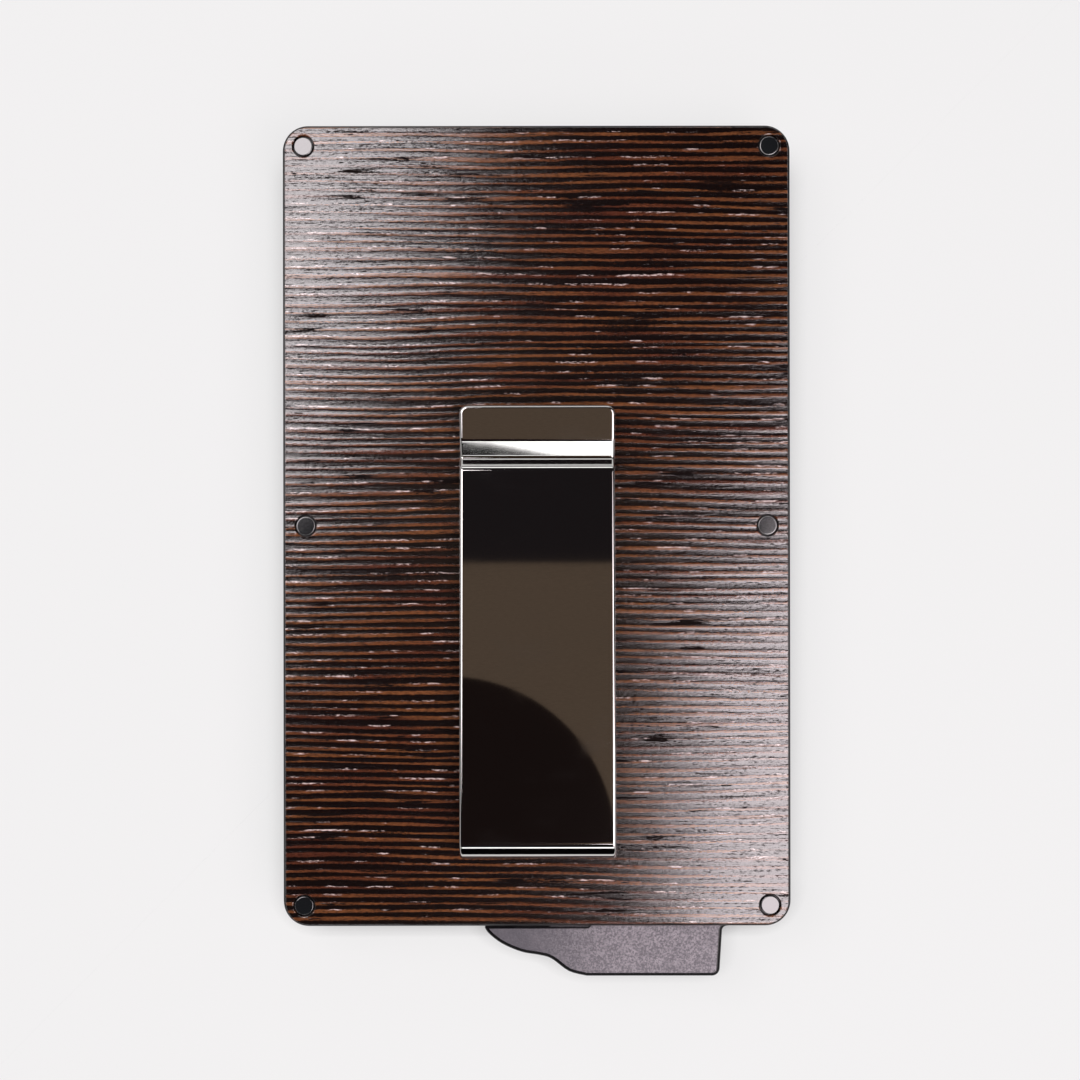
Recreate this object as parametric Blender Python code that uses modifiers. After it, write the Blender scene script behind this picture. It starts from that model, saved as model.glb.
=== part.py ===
"""Slim card wallet with a spring money clip on its rear and a fanning lever at its bottom edge.

The frame is X across the width, Y up the length and Z through the thickness. The wallet lies on its
front cover: the origin is the centre of that cover's outer face, and the clip is uppermost.
"""

import math

import bmesh
import bpy
from mathutils import Vector

# Covers, in metres.
PLATE_WIDTH = 0.0640
PLATE_LENGTH = 0.1010
PLATE_CORNER = 0.0032
CARRIER_THICK = 0.0010
CARRIER_EDGE = 0.0002
VENEER_THICK = 0.0006
VENEER_INSET = 0.00035
SEAT_GAP = 0.00005
RIM_MARGIN = 0.002
SAME_HEIGHT = 1e-6
TOOL_MARGIN = 0.001

# Frame between the covers.
FRAME_HEIGHT = 0.0070
FRAME_INSET = 0.0004
CARD_WIDTH = 0.0540
CARD_CLEARANCE = 0.00035
MOUTH_CHAMFER = 0.0010
CARD_REST_Y = -0.0385
LEDGE_X = -0.0234
FOOT_END_X = -0.0095

# Posts that hold the covers together.
CORNER_POST = (0.0293, 0.04775)
MIDDLE_POST_X = 0.02905
HEAD_RADIUS = 0.001175
HEAD_HOLE_RADIUS = 0.00135
HEAD_RECESS = 0.00005
HEAD_CHAMFER = 0.00012
BARREL_RADIUS = 0.00080
POST_BORE_RADIUS = 0.00085
THREAD_RADIUS = 0.00045
BARREL_BORE_RADIUS = 0.00050
THREAD_LENGTH = 0.0050
BARREL_BORE_LENGTH = 0.0056
SOCKET_FLATS = 0.0012
SOCKET_DEPTH = 0.0003

# Lever that fans the cards out.
LEVER_THICK = 0.0065
LEVER_STEPS = 7
LEVER_SHORT_X = 0.0069
LEVER_LONG_X = -0.0227
LEVER_POCKET_Y = -0.05113
LEVER_POCKET_CORNER = 0.0006
LEVER_EDGE = 0.0002
LEVER_HEEL_Y = -0.0488
PAD_DEPTH = 0.00675
PAD_LEFT_X = 0.0063
PAD_RIGHT_X = 0.02315
PAD_TOP_X = 0.02355
PAD_END_X = 0.0252
PAD_NOSE = [
    (-0.0069, 0.0),
    (-0.0063, -0.00120),
    (-0.0045, -0.00262),
    (-0.0020, -0.00368),
    (0.00025, -0.00408),
    (0.0018, -0.00455),
    (0.0040, -0.00614),
]
BOSS_RADIUS = 0.00245
BUSH_RADIUS = 0.00145
RUNNING_GAP = 0.00005
WASHER_THICK = 0.0002
WASHER_RADIUS = 0.0024

# Leaf spring that keeps the cards from falling out.
SPRING_THICK = 0.0003
SPRING_WIDTH = 0.0080
SPRING_TOP_Y = 0.0400
SPRING_HINGE_Y = 0.0290
SPRING_LENGTH = 0.0380
SPRING_RISE = 0.0016
SPRING_TOE = 0.0040
SPRING_TOE_DROP = 0.0007
SPRING_RIVETS_Y = (0.0328, 0.0368)

# Money clip.
CLIP_WIDTH = 0.0193
CLIP_X = 0.0001
CLIP_THICK = 0.0008
CLIP_BEND_Y = -0.0389
CLIP_BEND_RADIUS = 0.0020
CLIP_BASE_END_Y = 0.0134
CLIP_LIP_END = (0.0149, 0.00275)
CLIP_VALLEY_TOP = (0.0070, 0.00230)
CLIP_VALLEY = (0.0084, 0.00110)
CLIP_VALLEY_END = (0.0107, 0.00230)
CLIP_VALLEY_RADIUS = 0.0009
CLIP_CORNER = 0.0010
CLIP_RIVETS_Y = (-0.0300, -0.0120)
SPLIT_GAP = 0.00006

# Rivets of the spring and of the clip.
RIVET_SHANK = 0.00080
RIVET_HEAD = 0.00160
RIVET_HEAD_HEIGHT = 0.00035
RIVET_SINK = 0.00140
RIVET_SINK_DEPTH = 0.00060
RIVET_GAP = 0.00005

# Heights that follow from the thicknesses.
FRONT_CARRIER_Z = VENEER_THICK + SEAT_GAP
FRAME_Z = FRONT_CARRIER_Z + CARRIER_THICK + SEAT_GAP
REAR_CARRIER_Z = FRAME_Z + FRAME_HEIGHT + SEAT_GAP
REAR_VENEER_Z = REAR_CARRIER_Z + CARRIER_THICK + SEAT_GAP
REAR_FACE_Z = REAR_VENEER_Z + VENEER_THICK
LEVER_Z = FRAME_Z + WASHER_THICK + SEAT_GAP

RAIL_INNER_X = CARD_WIDTH / 2 + CARD_CLEARANCE
RAIL_OUTER_X = PLATE_WIDTH / 2 - FRAME_INSET
RAIL_END_Y = PLATE_LENGTH / 2 - FRAME_INSET
PIVOT = (CORNER_POST[0], -CORNER_POST[1])

ROUND_STEPS = 24
SMALL_ROUND_STEPS = 16

POSTS = {
    "top_left": (-CORNER_POST[0], CORNER_POST[1]),
    "top_right": (CORNER_POST[0], CORNER_POST[1]),
    "middle_left": (-MIDDLE_POST_X, 0.0),
    "middle_right": (MIDDLE_POST_X, 0.0),
    "bottom_left": (-CORNER_POST[0], -CORNER_POST[1]),
    "pivot": PIVOT,
}


def clear_scene():
    """Empty the scene."""
    for obj in list(bpy.data.objects):
        bpy.data.objects.remove(obj, do_unlink=True)


def new_collection(name):
    """A collection of this name, linked to the scene."""
    collection = bpy.data.collections.new(name)
    bpy.context.scene.collection.children.link(collection)
    return collection


def new_material(name, colour, roughness, metallic):
    """A Principled material of one colour."""
    material = bpy.data.materials.new(name)
    material.use_nodes = True
    shader = material.node_tree.nodes["Principled BSDF"]
    shader.inputs["Base Color"].default_value = (*colour, 1.0)
    shader.inputs["Roughness"].default_value = roughness
    shader.inputs["Metallic"].default_value = metallic
    material.diffuse_color = (*colour, 1.0)
    return material


def circle(centre, radius, steps=ROUND_STEPS):
    """Points round a circle."""
    turn = 2 * math.pi / steps
    return [
        (centre[0] + radius * math.cos(i * turn), centre[1] + radius * math.sin(i * turn))
        for i in range(steps)
    ]


def arc(centre, radius, start, end, steps):
    """Points along an arc from one angle to another, in degrees."""
    points = []
    for i in range(steps + 1):
        angle = math.radians(start + (end - start) * i / steps)
        points.append((centre[0] + radius * math.cos(angle), centre[1] + radius * math.sin(angle)))
    return points


def smooth_run(points, steps):
    """A smooth run through the given points, of this many steps from each point to the next."""
    run = []
    for i in range(len(points) - 1):
        before = Vector(points[max(i - 1, 0)])
        start = Vector(points[i])
        end = Vector(points[i + 1])
        after = Vector(points[min(i + 2, len(points) - 1)])
        for step in range(steps):
            t = step / steps
            place = start * 2 + (end - before) * t
            place += (before * 2 - start * 5 + end * 4 - after) * t**2
            place += (start * 3 - before - end * 3 + after) * t**3
            run.append(tuple(place / 2))
    run.append(points[-1])
    return run


def fillet(before, corner, after, radius, steps):
    """The arc that rounds one corner of an outline."""
    corner = Vector(corner[:2])
    inward = (Vector(before[:2]) - corner).normalized()
    outward = (Vector(after[:2]) - corner).normalized()
    half = inward.angle(outward) / 2
    reach = radius / math.tan(half)
    centre = corner + (inward + outward).normalized() * (radius / math.sin(half))
    start = corner + inward * reach - centre
    end = corner + outward * reach - centre
    sweep = start.angle_signed(end)
    points = []
    for i in range(steps + 1):
        turn = -sweep * i / steps
        x = start.x * math.cos(turn) - start.y * math.sin(turn)
        y = start.x * math.sin(turn) + start.y * math.cos(turn)
        points.append((centre.x + x, centre.y + y))
    return points


def rounded(corners, closed=True, steps=5):
    """An outline whose corners (x, y, radius) are rounded where their radius isn't 0."""
    points = []
    last = len(corners) - 1
    for i, corner in enumerate(corners):
        if corner[2] == 0 or (not closed and i in (0, last)):
            points.append(corner[:2])
            continue
        after = corners[(i + 1) % len(corners)]
        points += fillet(corners[i - 1], corner, after, corner[2], steps)
    return points


def rectangle(width, length, corner, steps=6):
    """A rectangle about the origin with rounded corners."""
    x = width / 2
    y = length / 2
    corners = [(x, y, corner), (-x, y, corner), (-x, -y, corner), (x, -y, corner)]
    return rounded(corners, steps=steps)


def ribbon(path, thickness):
    """The outline of a strip of even thickness whose middle follows a path."""
    near = []
    far = []
    last = len(path) - 1
    for i, (u, v) in enumerate(path):
        before = path[max(i - 1, 0)]
        after = path[min(i + 1, last)]
        along = (Vector(after) - Vector(before)).normalized()
        near.append((u - along.y * thickness / 2, v + along.x * thickness / 2))
        far.append((u + along.y * thickness / 2, v - along.x * thickness / 2))
    return near + far[::-1]


def shifted(points, centre):
    """The same points, measured from a centre."""
    return [(x - centre[0], y - centre[1]) for x, y in points]


def mesh_of(curve_object, name):
    """A mesh object that takes the place of a curve object, with its caps welded on."""
    bpy.context.view_layer.update()
    graph = bpy.context.evaluated_depsgraph_get()
    mesh = bpy.data.meshes.new_from_object(curve_object.evaluated_get(graph))
    mesh.name = name
    shape = bmesh.new()
    shape.from_mesh(mesh)
    bmesh.ops.remove_doubles(shape, verts=shape.verts, dist=1e-7)
    bmesh.ops.recalc_face_normals(shape, faces=shape.faces)
    shape.to_mesh(mesh)
    shape.free()
    obj = bpy.data.objects.new(name, mesh)
    obj.matrix_world = curve_object.matrix_world
    bpy.data.objects.remove(curve_object, do_unlink=True)
    return obj


def flat_piece(name, loops, thickness, place, collection, turn=(0.0, 0.0, 0.0)):
    """A flat outline with its holes, of this thickness, centred on its place."""
    curve = bpy.data.curves.new(name + "_outline", "CURVE")
    curve.dimensions = "2D"
    curve.fill_mode = "BOTH"
    curve.extrude = thickness / 2
    for loop in loops:
        spline = curve.splines.new("POLY")
        spline.points.add(len(loop) - 1)
        for point, (x, y) in zip(spline.points, loop):
            point.co = (x, y, 0.0, 1.0)
        spline.use_cyclic_u = True
    guide = bpy.data.objects.new(name + "_outline", curve)
    guide.location = place
    guide.rotation_euler = turn
    collection.objects.link(guide)
    obj = mesh_of(guide, name)
    collection.objects.link(obj)
    return obj


def turned_piece(name, profile, place, collection, closed=False, steps=ROUND_STEPS):
    """A piece turned about the Z axis from a profile of (radius, height) that runs down its outside."""
    mesh = bpy.data.meshes.new(name)
    obj = bpy.data.objects.new(name, mesh)
    shape = bmesh.new()
    verts = [shape.verts.new((radius, 0.0, height)) for radius, height in profile]
    for start, end in zip(verts, verts[1:]):
        shape.edges.new((start, end))
    if closed:
        shape.edges.new((verts[-1], verts[0]))
    shape.to_mesh(mesh)
    shape.free()
    obj.location = place
    collection.objects.link(obj)
    screw = obj.modifiers.new("Turn", "SCREW")
    screw.steps = steps
    screw.render_steps = steps
    screw.use_merge_vertices = True
    screw.merge_threshold = 1e-6
    return obj


def ring(name, inner, outer, bottom, height, centre, collection):
    """A plain ring about a post."""
    profile = [(inner, height), (outer, height), (outer, 0.0), (inner, 0.0)]
    place = (centre[0], centre[1], bottom)
    return turned_piece(name, profile, place, collection, closed=True)


def cut(obj, cutter, crosses_itself=False):
    """Cut one object's shape out of another, which may be a bent strip that comes back on itself."""
    cutter.hide_render = True
    cutter.display_type = "WIRE"
    boolean = obj.modifiers.new("Cut " + cutter.name, "BOOLEAN")
    boolean.operation = "DIFFERENCE"
    boolean.object = cutter
    boolean.use_self = crosses_itself


def drill(obj, name, centre, radius, bottom, top, cutters, steps=ROUND_STEPS, crosses_itself=False):
    """Drill a round hole from one height to another."""
    profile = [(0.0, top), (radius, top), (radius, bottom), (0.0, bottom)]
    place = (centre[0], centre[1], 0.0)
    cut(obj, turned_piece(name, profile, place, cutters, steps=steps), crosses_itself)


def whole_caps(obj):
    """Make each flat cap of a piece without holes one face, so that its rim takes a Bevel."""
    shape = bmesh.new()
    shape.from_mesh(obj.data)
    flat = [edge for edge in shape.edges if edge.calc_face_angle(1.0) < 1e-4]
    bmesh.ops.dissolve_edges(shape, edges=flat, use_verts=False)
    shape.to_mesh(obj.data)
    shape.free()


def soften(obj, width, segments):
    """Round the sharp edges."""
    bevel = obj.modifiers.new("Edges", "BEVEL")
    bevel.width = width
    bevel.segments = segments
    bevel.limit_method = "ANGLE"
    bevel.angle_limit = math.radians(50)
    bevel.use_clamp_overlap = False


def finish(obj, material, smooth_angle=None):
    """Give a piece its material, and smooth shading if it is round."""
    obj.data.materials.clear()
    obj.data.materials.append(material)
    if smooth_angle is not None:
        obj.data.shade_smooth()
        obj.data.set_sharp_from_angle(angle=math.radians(smooth_angle))


def post_holes(radius):
    """The outlines of the six post holes."""
    return [circle(centre, radius) for centre in POSTS.values()]


def rivet_cutter(name, centre, mouth_z, through_z, cutters):
    """The countersunk hole of a rivet, whose wide mouth is at mouth_z."""
    way = 1 if through_z > mouth_z else -1
    profile = [
        (0.0, mouth_z - way * RIVET_SINK_DEPTH),
        (RIVET_SINK + RIVET_GAP, mouth_z - way * RIVET_SINK_DEPTH),
        (RIVET_SINK + RIVET_GAP, mouth_z),
        (RIVET_SHANK + RIVET_GAP, mouth_z + way * RIVET_SINK_DEPTH),
        (RIVET_SHANK + RIVET_GAP, through_z),
        (0.0, through_z),
    ]
    if way > 0:
        profile.reverse()
    place = (centre[0], centre[1], 0.0)
    return turned_piece(name, profile, place, cutters, steps=SMALL_ROUND_STEPS)


def rivet(name, centre, mouth_z, seat_z, collection):
    """A rivet with a low head on its seat and a countersunk tail flush with mouth_z."""
    way = 1 if seat_z > mouth_z else -1
    head = seat_z + way * (SEAT_GAP + RIVET_HEAD_HEIGHT)
    under = seat_z + way * SEAT_GAP
    tail = mouth_z + way * SEAT_GAP
    profile = [
        (0.0, head),
        (RIVET_HEAD * 0.8, head),
        (RIVET_HEAD, (head + under) / 2),
        (RIVET_HEAD, under),
        (RIVET_SHANK, under),
        (RIVET_SHANK, mouth_z + way * RIVET_SINK_DEPTH),
        (RIVET_SINK, tail),
        (0.0, tail),
    ]
    if way < 0:
        profile.reverse()
    place = (centre[0], centre[1], 0.0)
    return turned_piece(name, profile, place, collection, steps=SMALL_ROUND_STEPS)


def make_carrier(name, bottom, parts):
    """One of the two stiff plates that carry the veneers."""
    outline = rectangle(PLATE_WIDTH, PLATE_LENGTH, PLATE_CORNER)
    loops = [outline] + post_holes(POST_BORE_RADIUS)
    place = (0.0, 0.0, bottom + CARRIER_THICK / 2)
    carrier = flat_piece(name, loops, CARRIER_THICK, place, parts)
    weigh_outer_rim(carrier)
    return carrier


def weigh_outer_rim(obj):
    """Round only the outer rim of a plate, by a Bevel that reads edge weights."""
    shape = bmesh.new()
    shape.from_mesh(obj.data)
    weight = shape.edges.layers.float.new("bevel_weight_edge")
    rim_x = PLATE_WIDTH / 2 - PLATE_CORNER + RIM_MARGIN
    rim_y = PLATE_LENGTH / 2 - PLATE_CORNER + RIM_MARGIN
    for edge in shape.edges:
        middle = (edge.verts[0].co + edge.verts[1].co) / 2
        level = abs(edge.verts[0].co.z - edge.verts[1].co.z) < SAME_HEIGHT
        outside = abs(middle.x) > rim_x or abs(middle.y) > rim_y
        at_rim = outside and edge.calc_face_angle(0.0) > 1.0
        edge[weight] = 1.0 if level and at_rim else 0.0
    shape.to_mesh(obj.data)
    shape.free()
    bevel = obj.modifiers.new("Rim", "BEVEL")
    bevel.width = CARRIER_EDGE
    bevel.segments = 2
    bevel.limit_method = "WEIGHT"


def make_veneer(name, bottom, parts):
    """A wood veneer, set in from the carrier's edge all round."""
    width = PLATE_WIDTH - 2 * VENEER_INSET
    length = PLATE_LENGTH - 2 * VENEER_INSET
    outline = rectangle(width, length, PLATE_CORNER - VENEER_INSET)
    loops = [outline] + post_holes(HEAD_HOLE_RADIUS)
    place = (0.0, 0.0, bottom + VENEER_THICK / 2)
    return flat_piece(name, loops, VENEER_THICK, place, parts)


def foot_top(x):
    """How high the foot reaches at x, just under the lever's long arms."""
    start, end = arm_underside()
    slope = (end[1] - start[1]) / (end[0] - start[0])
    return start[1] + slope * (x - start[0]) - 3 * SEAT_GAP


def arm_underside():
    """The two ends of the straight underside of the lever's long arms."""
    return (-0.0085, -0.0462), (LEVER_LONG_X, -0.0425)


def make_left_rail(parts):
    """The left side of the frame, which turns the corner into the foot that the lever rests on."""
    corner = PLATE_CORNER - FRAME_INSET
    outline = rounded(
        [
            (-RAIL_INNER_X, CARD_REST_Y - SEAT_GAP, 0.0002),
            (-RAIL_INNER_X, RAIL_END_Y - MOUTH_CHAMFER, 0),
            (-RAIL_INNER_X - MOUTH_CHAMFER, RAIL_END_Y, 0),
            (-RAIL_OUTER_X, RAIL_END_Y, corner),
            (-RAIL_OUTER_X, -RAIL_END_Y, corner),
            (FOOT_END_X, -RAIL_END_Y, 0.0006),
            (FOOT_END_X, foot_top(FOOT_END_X), 0.0006),
            (LEDGE_X, foot_top(LEDGE_X), 0.0003),
            (LEDGE_X, CARD_REST_Y - SEAT_GAP, 0.0006),
        ]
    )
    holes = [POSTS["top_left"], POSTS["middle_left"], POSTS["bottom_left"]]
    loops = [outline] + [circle(centre, POST_BORE_RADIUS) for centre in holes]
    place = (0.0, 0.0, FRAME_Z + FRAME_HEIGHT / 2)
    return flat_piece("left_rail", loops, FRAME_HEIGHT, place, parts)


def make_right_rail(parts):
    """The right side of the frame, whose slanted end is the lever's stop."""
    corner = PLATE_CORNER - FRAME_INSET
    outline = rounded(
        [
            (RAIL_INNER_X, RAIL_END_Y - MOUTH_CHAMFER, 0),
            (RAIL_INNER_X, -0.0393, 0.0006),
            (RAIL_OUTER_X, -0.0452, 0.0006),
            (RAIL_OUTER_X, RAIL_END_Y, corner),
            (RAIL_INNER_X + MOUTH_CHAMFER, RAIL_END_Y, 0),
        ]
    )
    holes = [POSTS["top_right"], POSTS["middle_right"]]
    loops = [outline] + [circle(centre, POST_BORE_RADIUS) for centre in holes]
    place = (0.0, 0.0, FRAME_Z + FRAME_HEIGHT / 2)
    return flat_piece("right_rail", loops, FRAME_HEIGHT, place, parts)


def make_barrel(name, centre, parts):
    """The rear half of a post: a flat head and a hollow barrel."""
    top = REAR_FACE_Z - HEAD_RECESS
    seat = REAR_CARRIER_Z + CARRIER_THICK + SEAT_GAP
    bottom = FRONT_CARRIER_Z + 2 * SEAT_GAP
    profile = [
        (0.0, top),
        (HEAD_RADIUS - HEAD_CHAMFER, top),
        (HEAD_RADIUS, top - HEAD_CHAMFER),
        (HEAD_RADIUS, seat),
        (BARREL_RADIUS, seat),
        (BARREL_RADIUS, bottom),
        (BARREL_BORE_RADIUS, bottom),
        (BARREL_BORE_RADIUS, bottom + BARREL_BORE_LENGTH),
        (0.0, bottom + BARREL_BORE_LENGTH),
    ]
    return turned_piece(name, profile, (centre[0], centre[1], 0.0), parts)


def make_screw(name, centre, parts, cutters):
    """The front half of a post: a screw with a flat head and a hexagon socket."""
    top = FRONT_CARRIER_Z - SEAT_GAP + THREAD_LENGTH
    seat = FRONT_CARRIER_Z - SEAT_GAP
    profile = [
        (0.0, top),
        (THREAD_RADIUS, top),
        (THREAD_RADIUS, seat),
        (HEAD_RADIUS, seat),
        (HEAD_RADIUS, HEAD_RECESS + HEAD_CHAMFER),
        (HEAD_RADIUS - HEAD_CHAMFER, HEAD_RECESS),
        (0.0, HEAD_RECESS),
    ]
    screw = turned_piece(name, profile, (centre[0], centre[1], 0.0), parts)
    socket = circle((0.0, 0.0), SOCKET_FLATS / math.sqrt(3), 6)
    place = (centre[0], centre[1], HEAD_RECESS)
    cut(screw, flat_piece(name + "_socket", [socket], 2 * SOCKET_DEPTH, place, cutters))
    return screw


def lever_outline():
    """The outline of the lever, seen from the rear, in the wallet's own frame."""
    edge_y = -PLATE_LENGTH / 2
    nose = smooth_run(shifted(PAD_NOSE + [(PAD_LEFT_X, 0.00001 - PAD_DEPTH)], (0.0, -edge_y)), 3)
    under_start, under_end = arm_underside()
    corners = [(x, y, 0) for x, y in nose]
    corners += [
        (PAD_RIGHT_X, edge_y - PAD_DEPTH, 0.0010),
        (PAD_TOP_X, edge_y - 0.0005, 0.0006),
        (PAD_END_X, edge_y - 0.0002, 0),
    ]
    corners += [(x, y, 0) for x, y in arc(PIVOT, BOSS_RADIUS, -100, 50, 10)]
    corners += [
        (0.0220, CARD_REST_Y, 0.0020),
        (LEVER_LONG_X, CARD_REST_Y, 0.0008),
        (under_end[0], under_end[1], 0.0010),
        (under_start[0], under_start[1], 0.0010),
        (-0.0062, LEVER_HEEL_Y, 0.0010),
    ]
    return rounded(corners, steps=4)


def make_lever(parts, cutters):
    """The fanning lever: a thumb pad, and one arm for each card, each shorter than the last."""
    outline = shifted(lever_outline(), PIVOT)
    top = LEVER_Z + LEVER_THICK
    place = (PIVOT[0], PIVOT[1], LEVER_Z + LEVER_THICK / 2)
    lever = flat_piece("fan_lever", [outline], LEVER_THICK, place, parts)
    whole_caps(lever)
    soften(lever, LEVER_EDGE, 2)
    bore = BUSH_RADIUS + RUNNING_GAP
    drill(lever, "lever_bore", PIVOT, bore, LEVER_Z - TOOL_MARGIN, top + TOOL_MARGIN, cutters)
    layer = LEVER_THICK / LEVER_STEPS
    reach = (LEVER_SHORT_X - LEVER_LONG_X) / (LEVER_STEPS - 1)
    for step in range(LEVER_STEPS - 1):
        end = LEVER_SHORT_X - reach * step
        pocket = rounded(
            [
                (end, CARD_REST_Y + TOOL_MARGIN, 0),
                (LEVER_LONG_X - TOOL_MARGIN, CARD_REST_Y + TOOL_MARGIN, 0),
                (LEVER_LONG_X - TOOL_MARGIN, LEVER_POCKET_Y, 0),
                (end, LEVER_POCKET_Y, LEVER_POCKET_CORNER),
            ],
            steps=3,
        )
        height = layer * (step + 1) + TOOL_MARGIN
        spot = (0.0, 0.0, top + TOOL_MARGIN - height / 2)
        cut(lever, flat_piece("lever_pocket_%d" % (step + 1), [pocket], height, spot, cutters))
    return lever


def make_spring(parts):
    """The leaf spring: its fixed root and the leaf that bends towards the front cover."""
    middle = FRAME_Z + SPRING_THICK / 2
    square = (math.pi / 2, 0.0, math.pi / 2)
    root_path = [(SPRING_TOP_Y, middle), (SPRING_HINGE_Y + SPLIT_GAP / 2, middle)]
    root = flat_piece(
        "spring_root", [ribbon(root_path, SPRING_THICK)], SPRING_WIDTH, (0, 0, 0), parts, square
    )
    toe_start = SPRING_LENGTH - SPRING_TOE
    leaf_path = rounded(
        [
            (-SPLIT_GAP / 2, SPRING_RISE * SPLIT_GAP / 2 / toe_start, 0),
            (-toe_start, SPRING_RISE, 0.004),
            (-SPRING_LENGTH, SPRING_RISE - SPRING_TOE_DROP, 0),
        ],
        closed=False,
    )
    place = (0.0, SPRING_HINGE_Y, middle)
    leaf = flat_piece(
        "spring_leaf", [ribbon(leaf_path, SPRING_THICK)], SPRING_WIDTH, place, parts, square
    )
    return root, leaf


def clip_slope():
    """The angle by which the clip's leaf falls from its bend to its valley, in degrees."""
    top = CLIP_THICK / 2 + SEAT_GAP + 2 * CLIP_BEND_RADIUS
    fall = top - CLIP_VALLEY_TOP[1]
    return math.degrees(math.atan2(fall, CLIP_VALLEY_TOP[0] - CLIP_BEND_Y))


def clip_bend():
    """The middle line of the clip's bend, from the base up and over, as (Y, height over the veneer)."""
    centre = (CLIP_BEND_Y, SEAT_GAP + CLIP_THICK / 2 + CLIP_BEND_RADIUS)
    return arc(centre, CLIP_BEND_RADIUS, 270, 90 - clip_slope(), 16)


def round_corners(obj, end_y, radius):
    """Round the two corners at the free end of a strip, as seen from above."""
    shape = bmesh.new()
    shape.from_mesh(obj.data)
    world = obj.matrix_world
    half = CLIP_WIDTH / 2
    chosen = []
    for edge in shape.edges:
        ends = [world @ vert.co for vert in edge.verts]
        at_end = all(abs(end.y - end_y) < CLIP_THICK / 2 for end in ends)
        at_side = all(abs(abs(end.x - CLIP_X) - half) < 1e-6 for end in ends)
        upright = abs(ends[0].z - ends[1].z) > CLIP_THICK / 2
        if at_end and at_side and upright:
            chosen.append(edge)
    bmesh.ops.bevel(
        shape, geom=chosen, offset=radius, segments=3, profile=0.5, affect="EDGES"
    )
    shape.to_mesh(obj.data)
    shape.free()


def make_clip_base(parts, cutters):
    """The clip's base, which lies on the rear veneer, and the bend at its lower end."""
    bend = clip_bend()
    last = Vector(bend[-1])
    back = (Vector(bend[-2]) - last).normalized() * SPLIT_GAP / 2
    bend[-1] = tuple(last + back)
    path = [(CLIP_BASE_END_Y, SEAT_GAP + CLIP_THICK / 2)] + bend
    square = (math.pi / 2, 0.0, math.pi / 2)
    place = (CLIP_X, 0.0, REAR_FACE_Z)
    base = flat_piece("clip_base", [ribbon(path, CLIP_THICK)], CLIP_WIDTH, place, parts, square)
    round_corners(base, CLIP_BASE_END_Y, CLIP_CORNER)
    low = REAR_FACE_Z - TOOL_MARGIN
    high = REAR_FACE_Z + 2 * TOOL_MARGIN
    for i, y in enumerate(CLIP_RIVETS_Y):
        radius = RIVET_SHANK + RIVET_GAP
        drill(base, "clip_hole_%d" % (i + 1), (CLIP_X, y), radius, low, high, cutters,
              SMALL_ROUND_STEPS, crosses_itself=True)
    return base


def make_clip_leaf(parts):
    """The clip's sprung leaf, with the valley that grips and the lip that leads notes in."""
    hinge = clip_bend()[-1]
    slope = math.radians(clip_slope())
    start = (SPLIT_GAP / 2 * math.cos(slope), -SPLIT_GAP / 2 * math.sin(slope))
    corners = [(start[0], start[1], 0)]
    corners.append((*shifted([CLIP_VALLEY_TOP], hinge)[0], CLIP_VALLEY_RADIUS))
    corners.append((*shifted([CLIP_VALLEY], hinge)[0], CLIP_VALLEY_RADIUS))
    corners.append((*shifted([CLIP_VALLEY_END], hinge)[0], CLIP_VALLEY_RADIUS))
    corners.append((*shifted([CLIP_LIP_END], hinge)[0], 0))
    path = rounded(corners, closed=False)
    square = (math.pi / 2, 0.0, math.pi / 2)
    place = (CLIP_X, hinge[0], REAR_FACE_Z + hinge[1])
    leaf = flat_piece("clip_leaf", [ribbon(path, CLIP_THICK)], CLIP_WIDTH, place, parts, square)
    round_corners(leaf, CLIP_LIP_END[0], CLIP_CORNER)
    return leaf


def build_covers(parts, cutters, black, wood):
    """Both carriers and both veneers, drilled for the spring's and the clip's rivets."""
    front = make_carrier("front_carrier", FRONT_CARRIER_Z, parts)
    rear = make_carrier("rear_carrier", REAR_CARRIER_Z, parts)
    for i, y in enumerate(SPRING_RIVETS_Y):
        name = "spring_sink_%d" % (i + 1)
        through = FRONT_CARRIER_Z + 2 * CARRIER_THICK
        cut(front, rivet_cutter(name, (0.0, y), FRONT_CARRIER_Z, through, cutters))
    rear_veneer = make_veneer("rear_veneer", REAR_VENEER_Z, parts)
    for i, y in enumerate(CLIP_RIVETS_Y):
        name = "clip_sink_%d" % (i + 1)
        through = REAR_CARRIER_Z + 2 * CARRIER_THICK
        cut(rear, rivet_cutter(name, (CLIP_X, y), REAR_CARRIER_Z, through, cutters))
        hole = "clip_veneer_hole_%d" % (i + 1)
        radius = RIVET_SHANK + RIVET_GAP
        drill(rear_veneer, hole, (CLIP_X, y), radius, REAR_VENEER_Z - 0.0003, REAR_FACE_Z + 0.0003,
              cutters, SMALL_ROUND_STEPS)
    front_veneer = make_veneer("front_veneer", 0.0, parts)
    finish(front, black)
    finish(rear, black)
    finish(front_veneer, wood)
    finish(rear_veneer, wood)


def build_frame(parts, rail_black):
    """The two rails between the covers."""
    finish(make_left_rail(parts), rail_black)
    finish(make_right_rail(parts), rail_black)


def build_posts(parts, cutters, polished):
    """Six posts, each a barrel with a screw in it."""
    for place, centre in POSTS.items():
        finish(make_barrel(place + "_barrel", centre, parts), polished, 35)
        finish(make_screw(place + "_screw", centre, parts, cutters), polished, 35)


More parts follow.
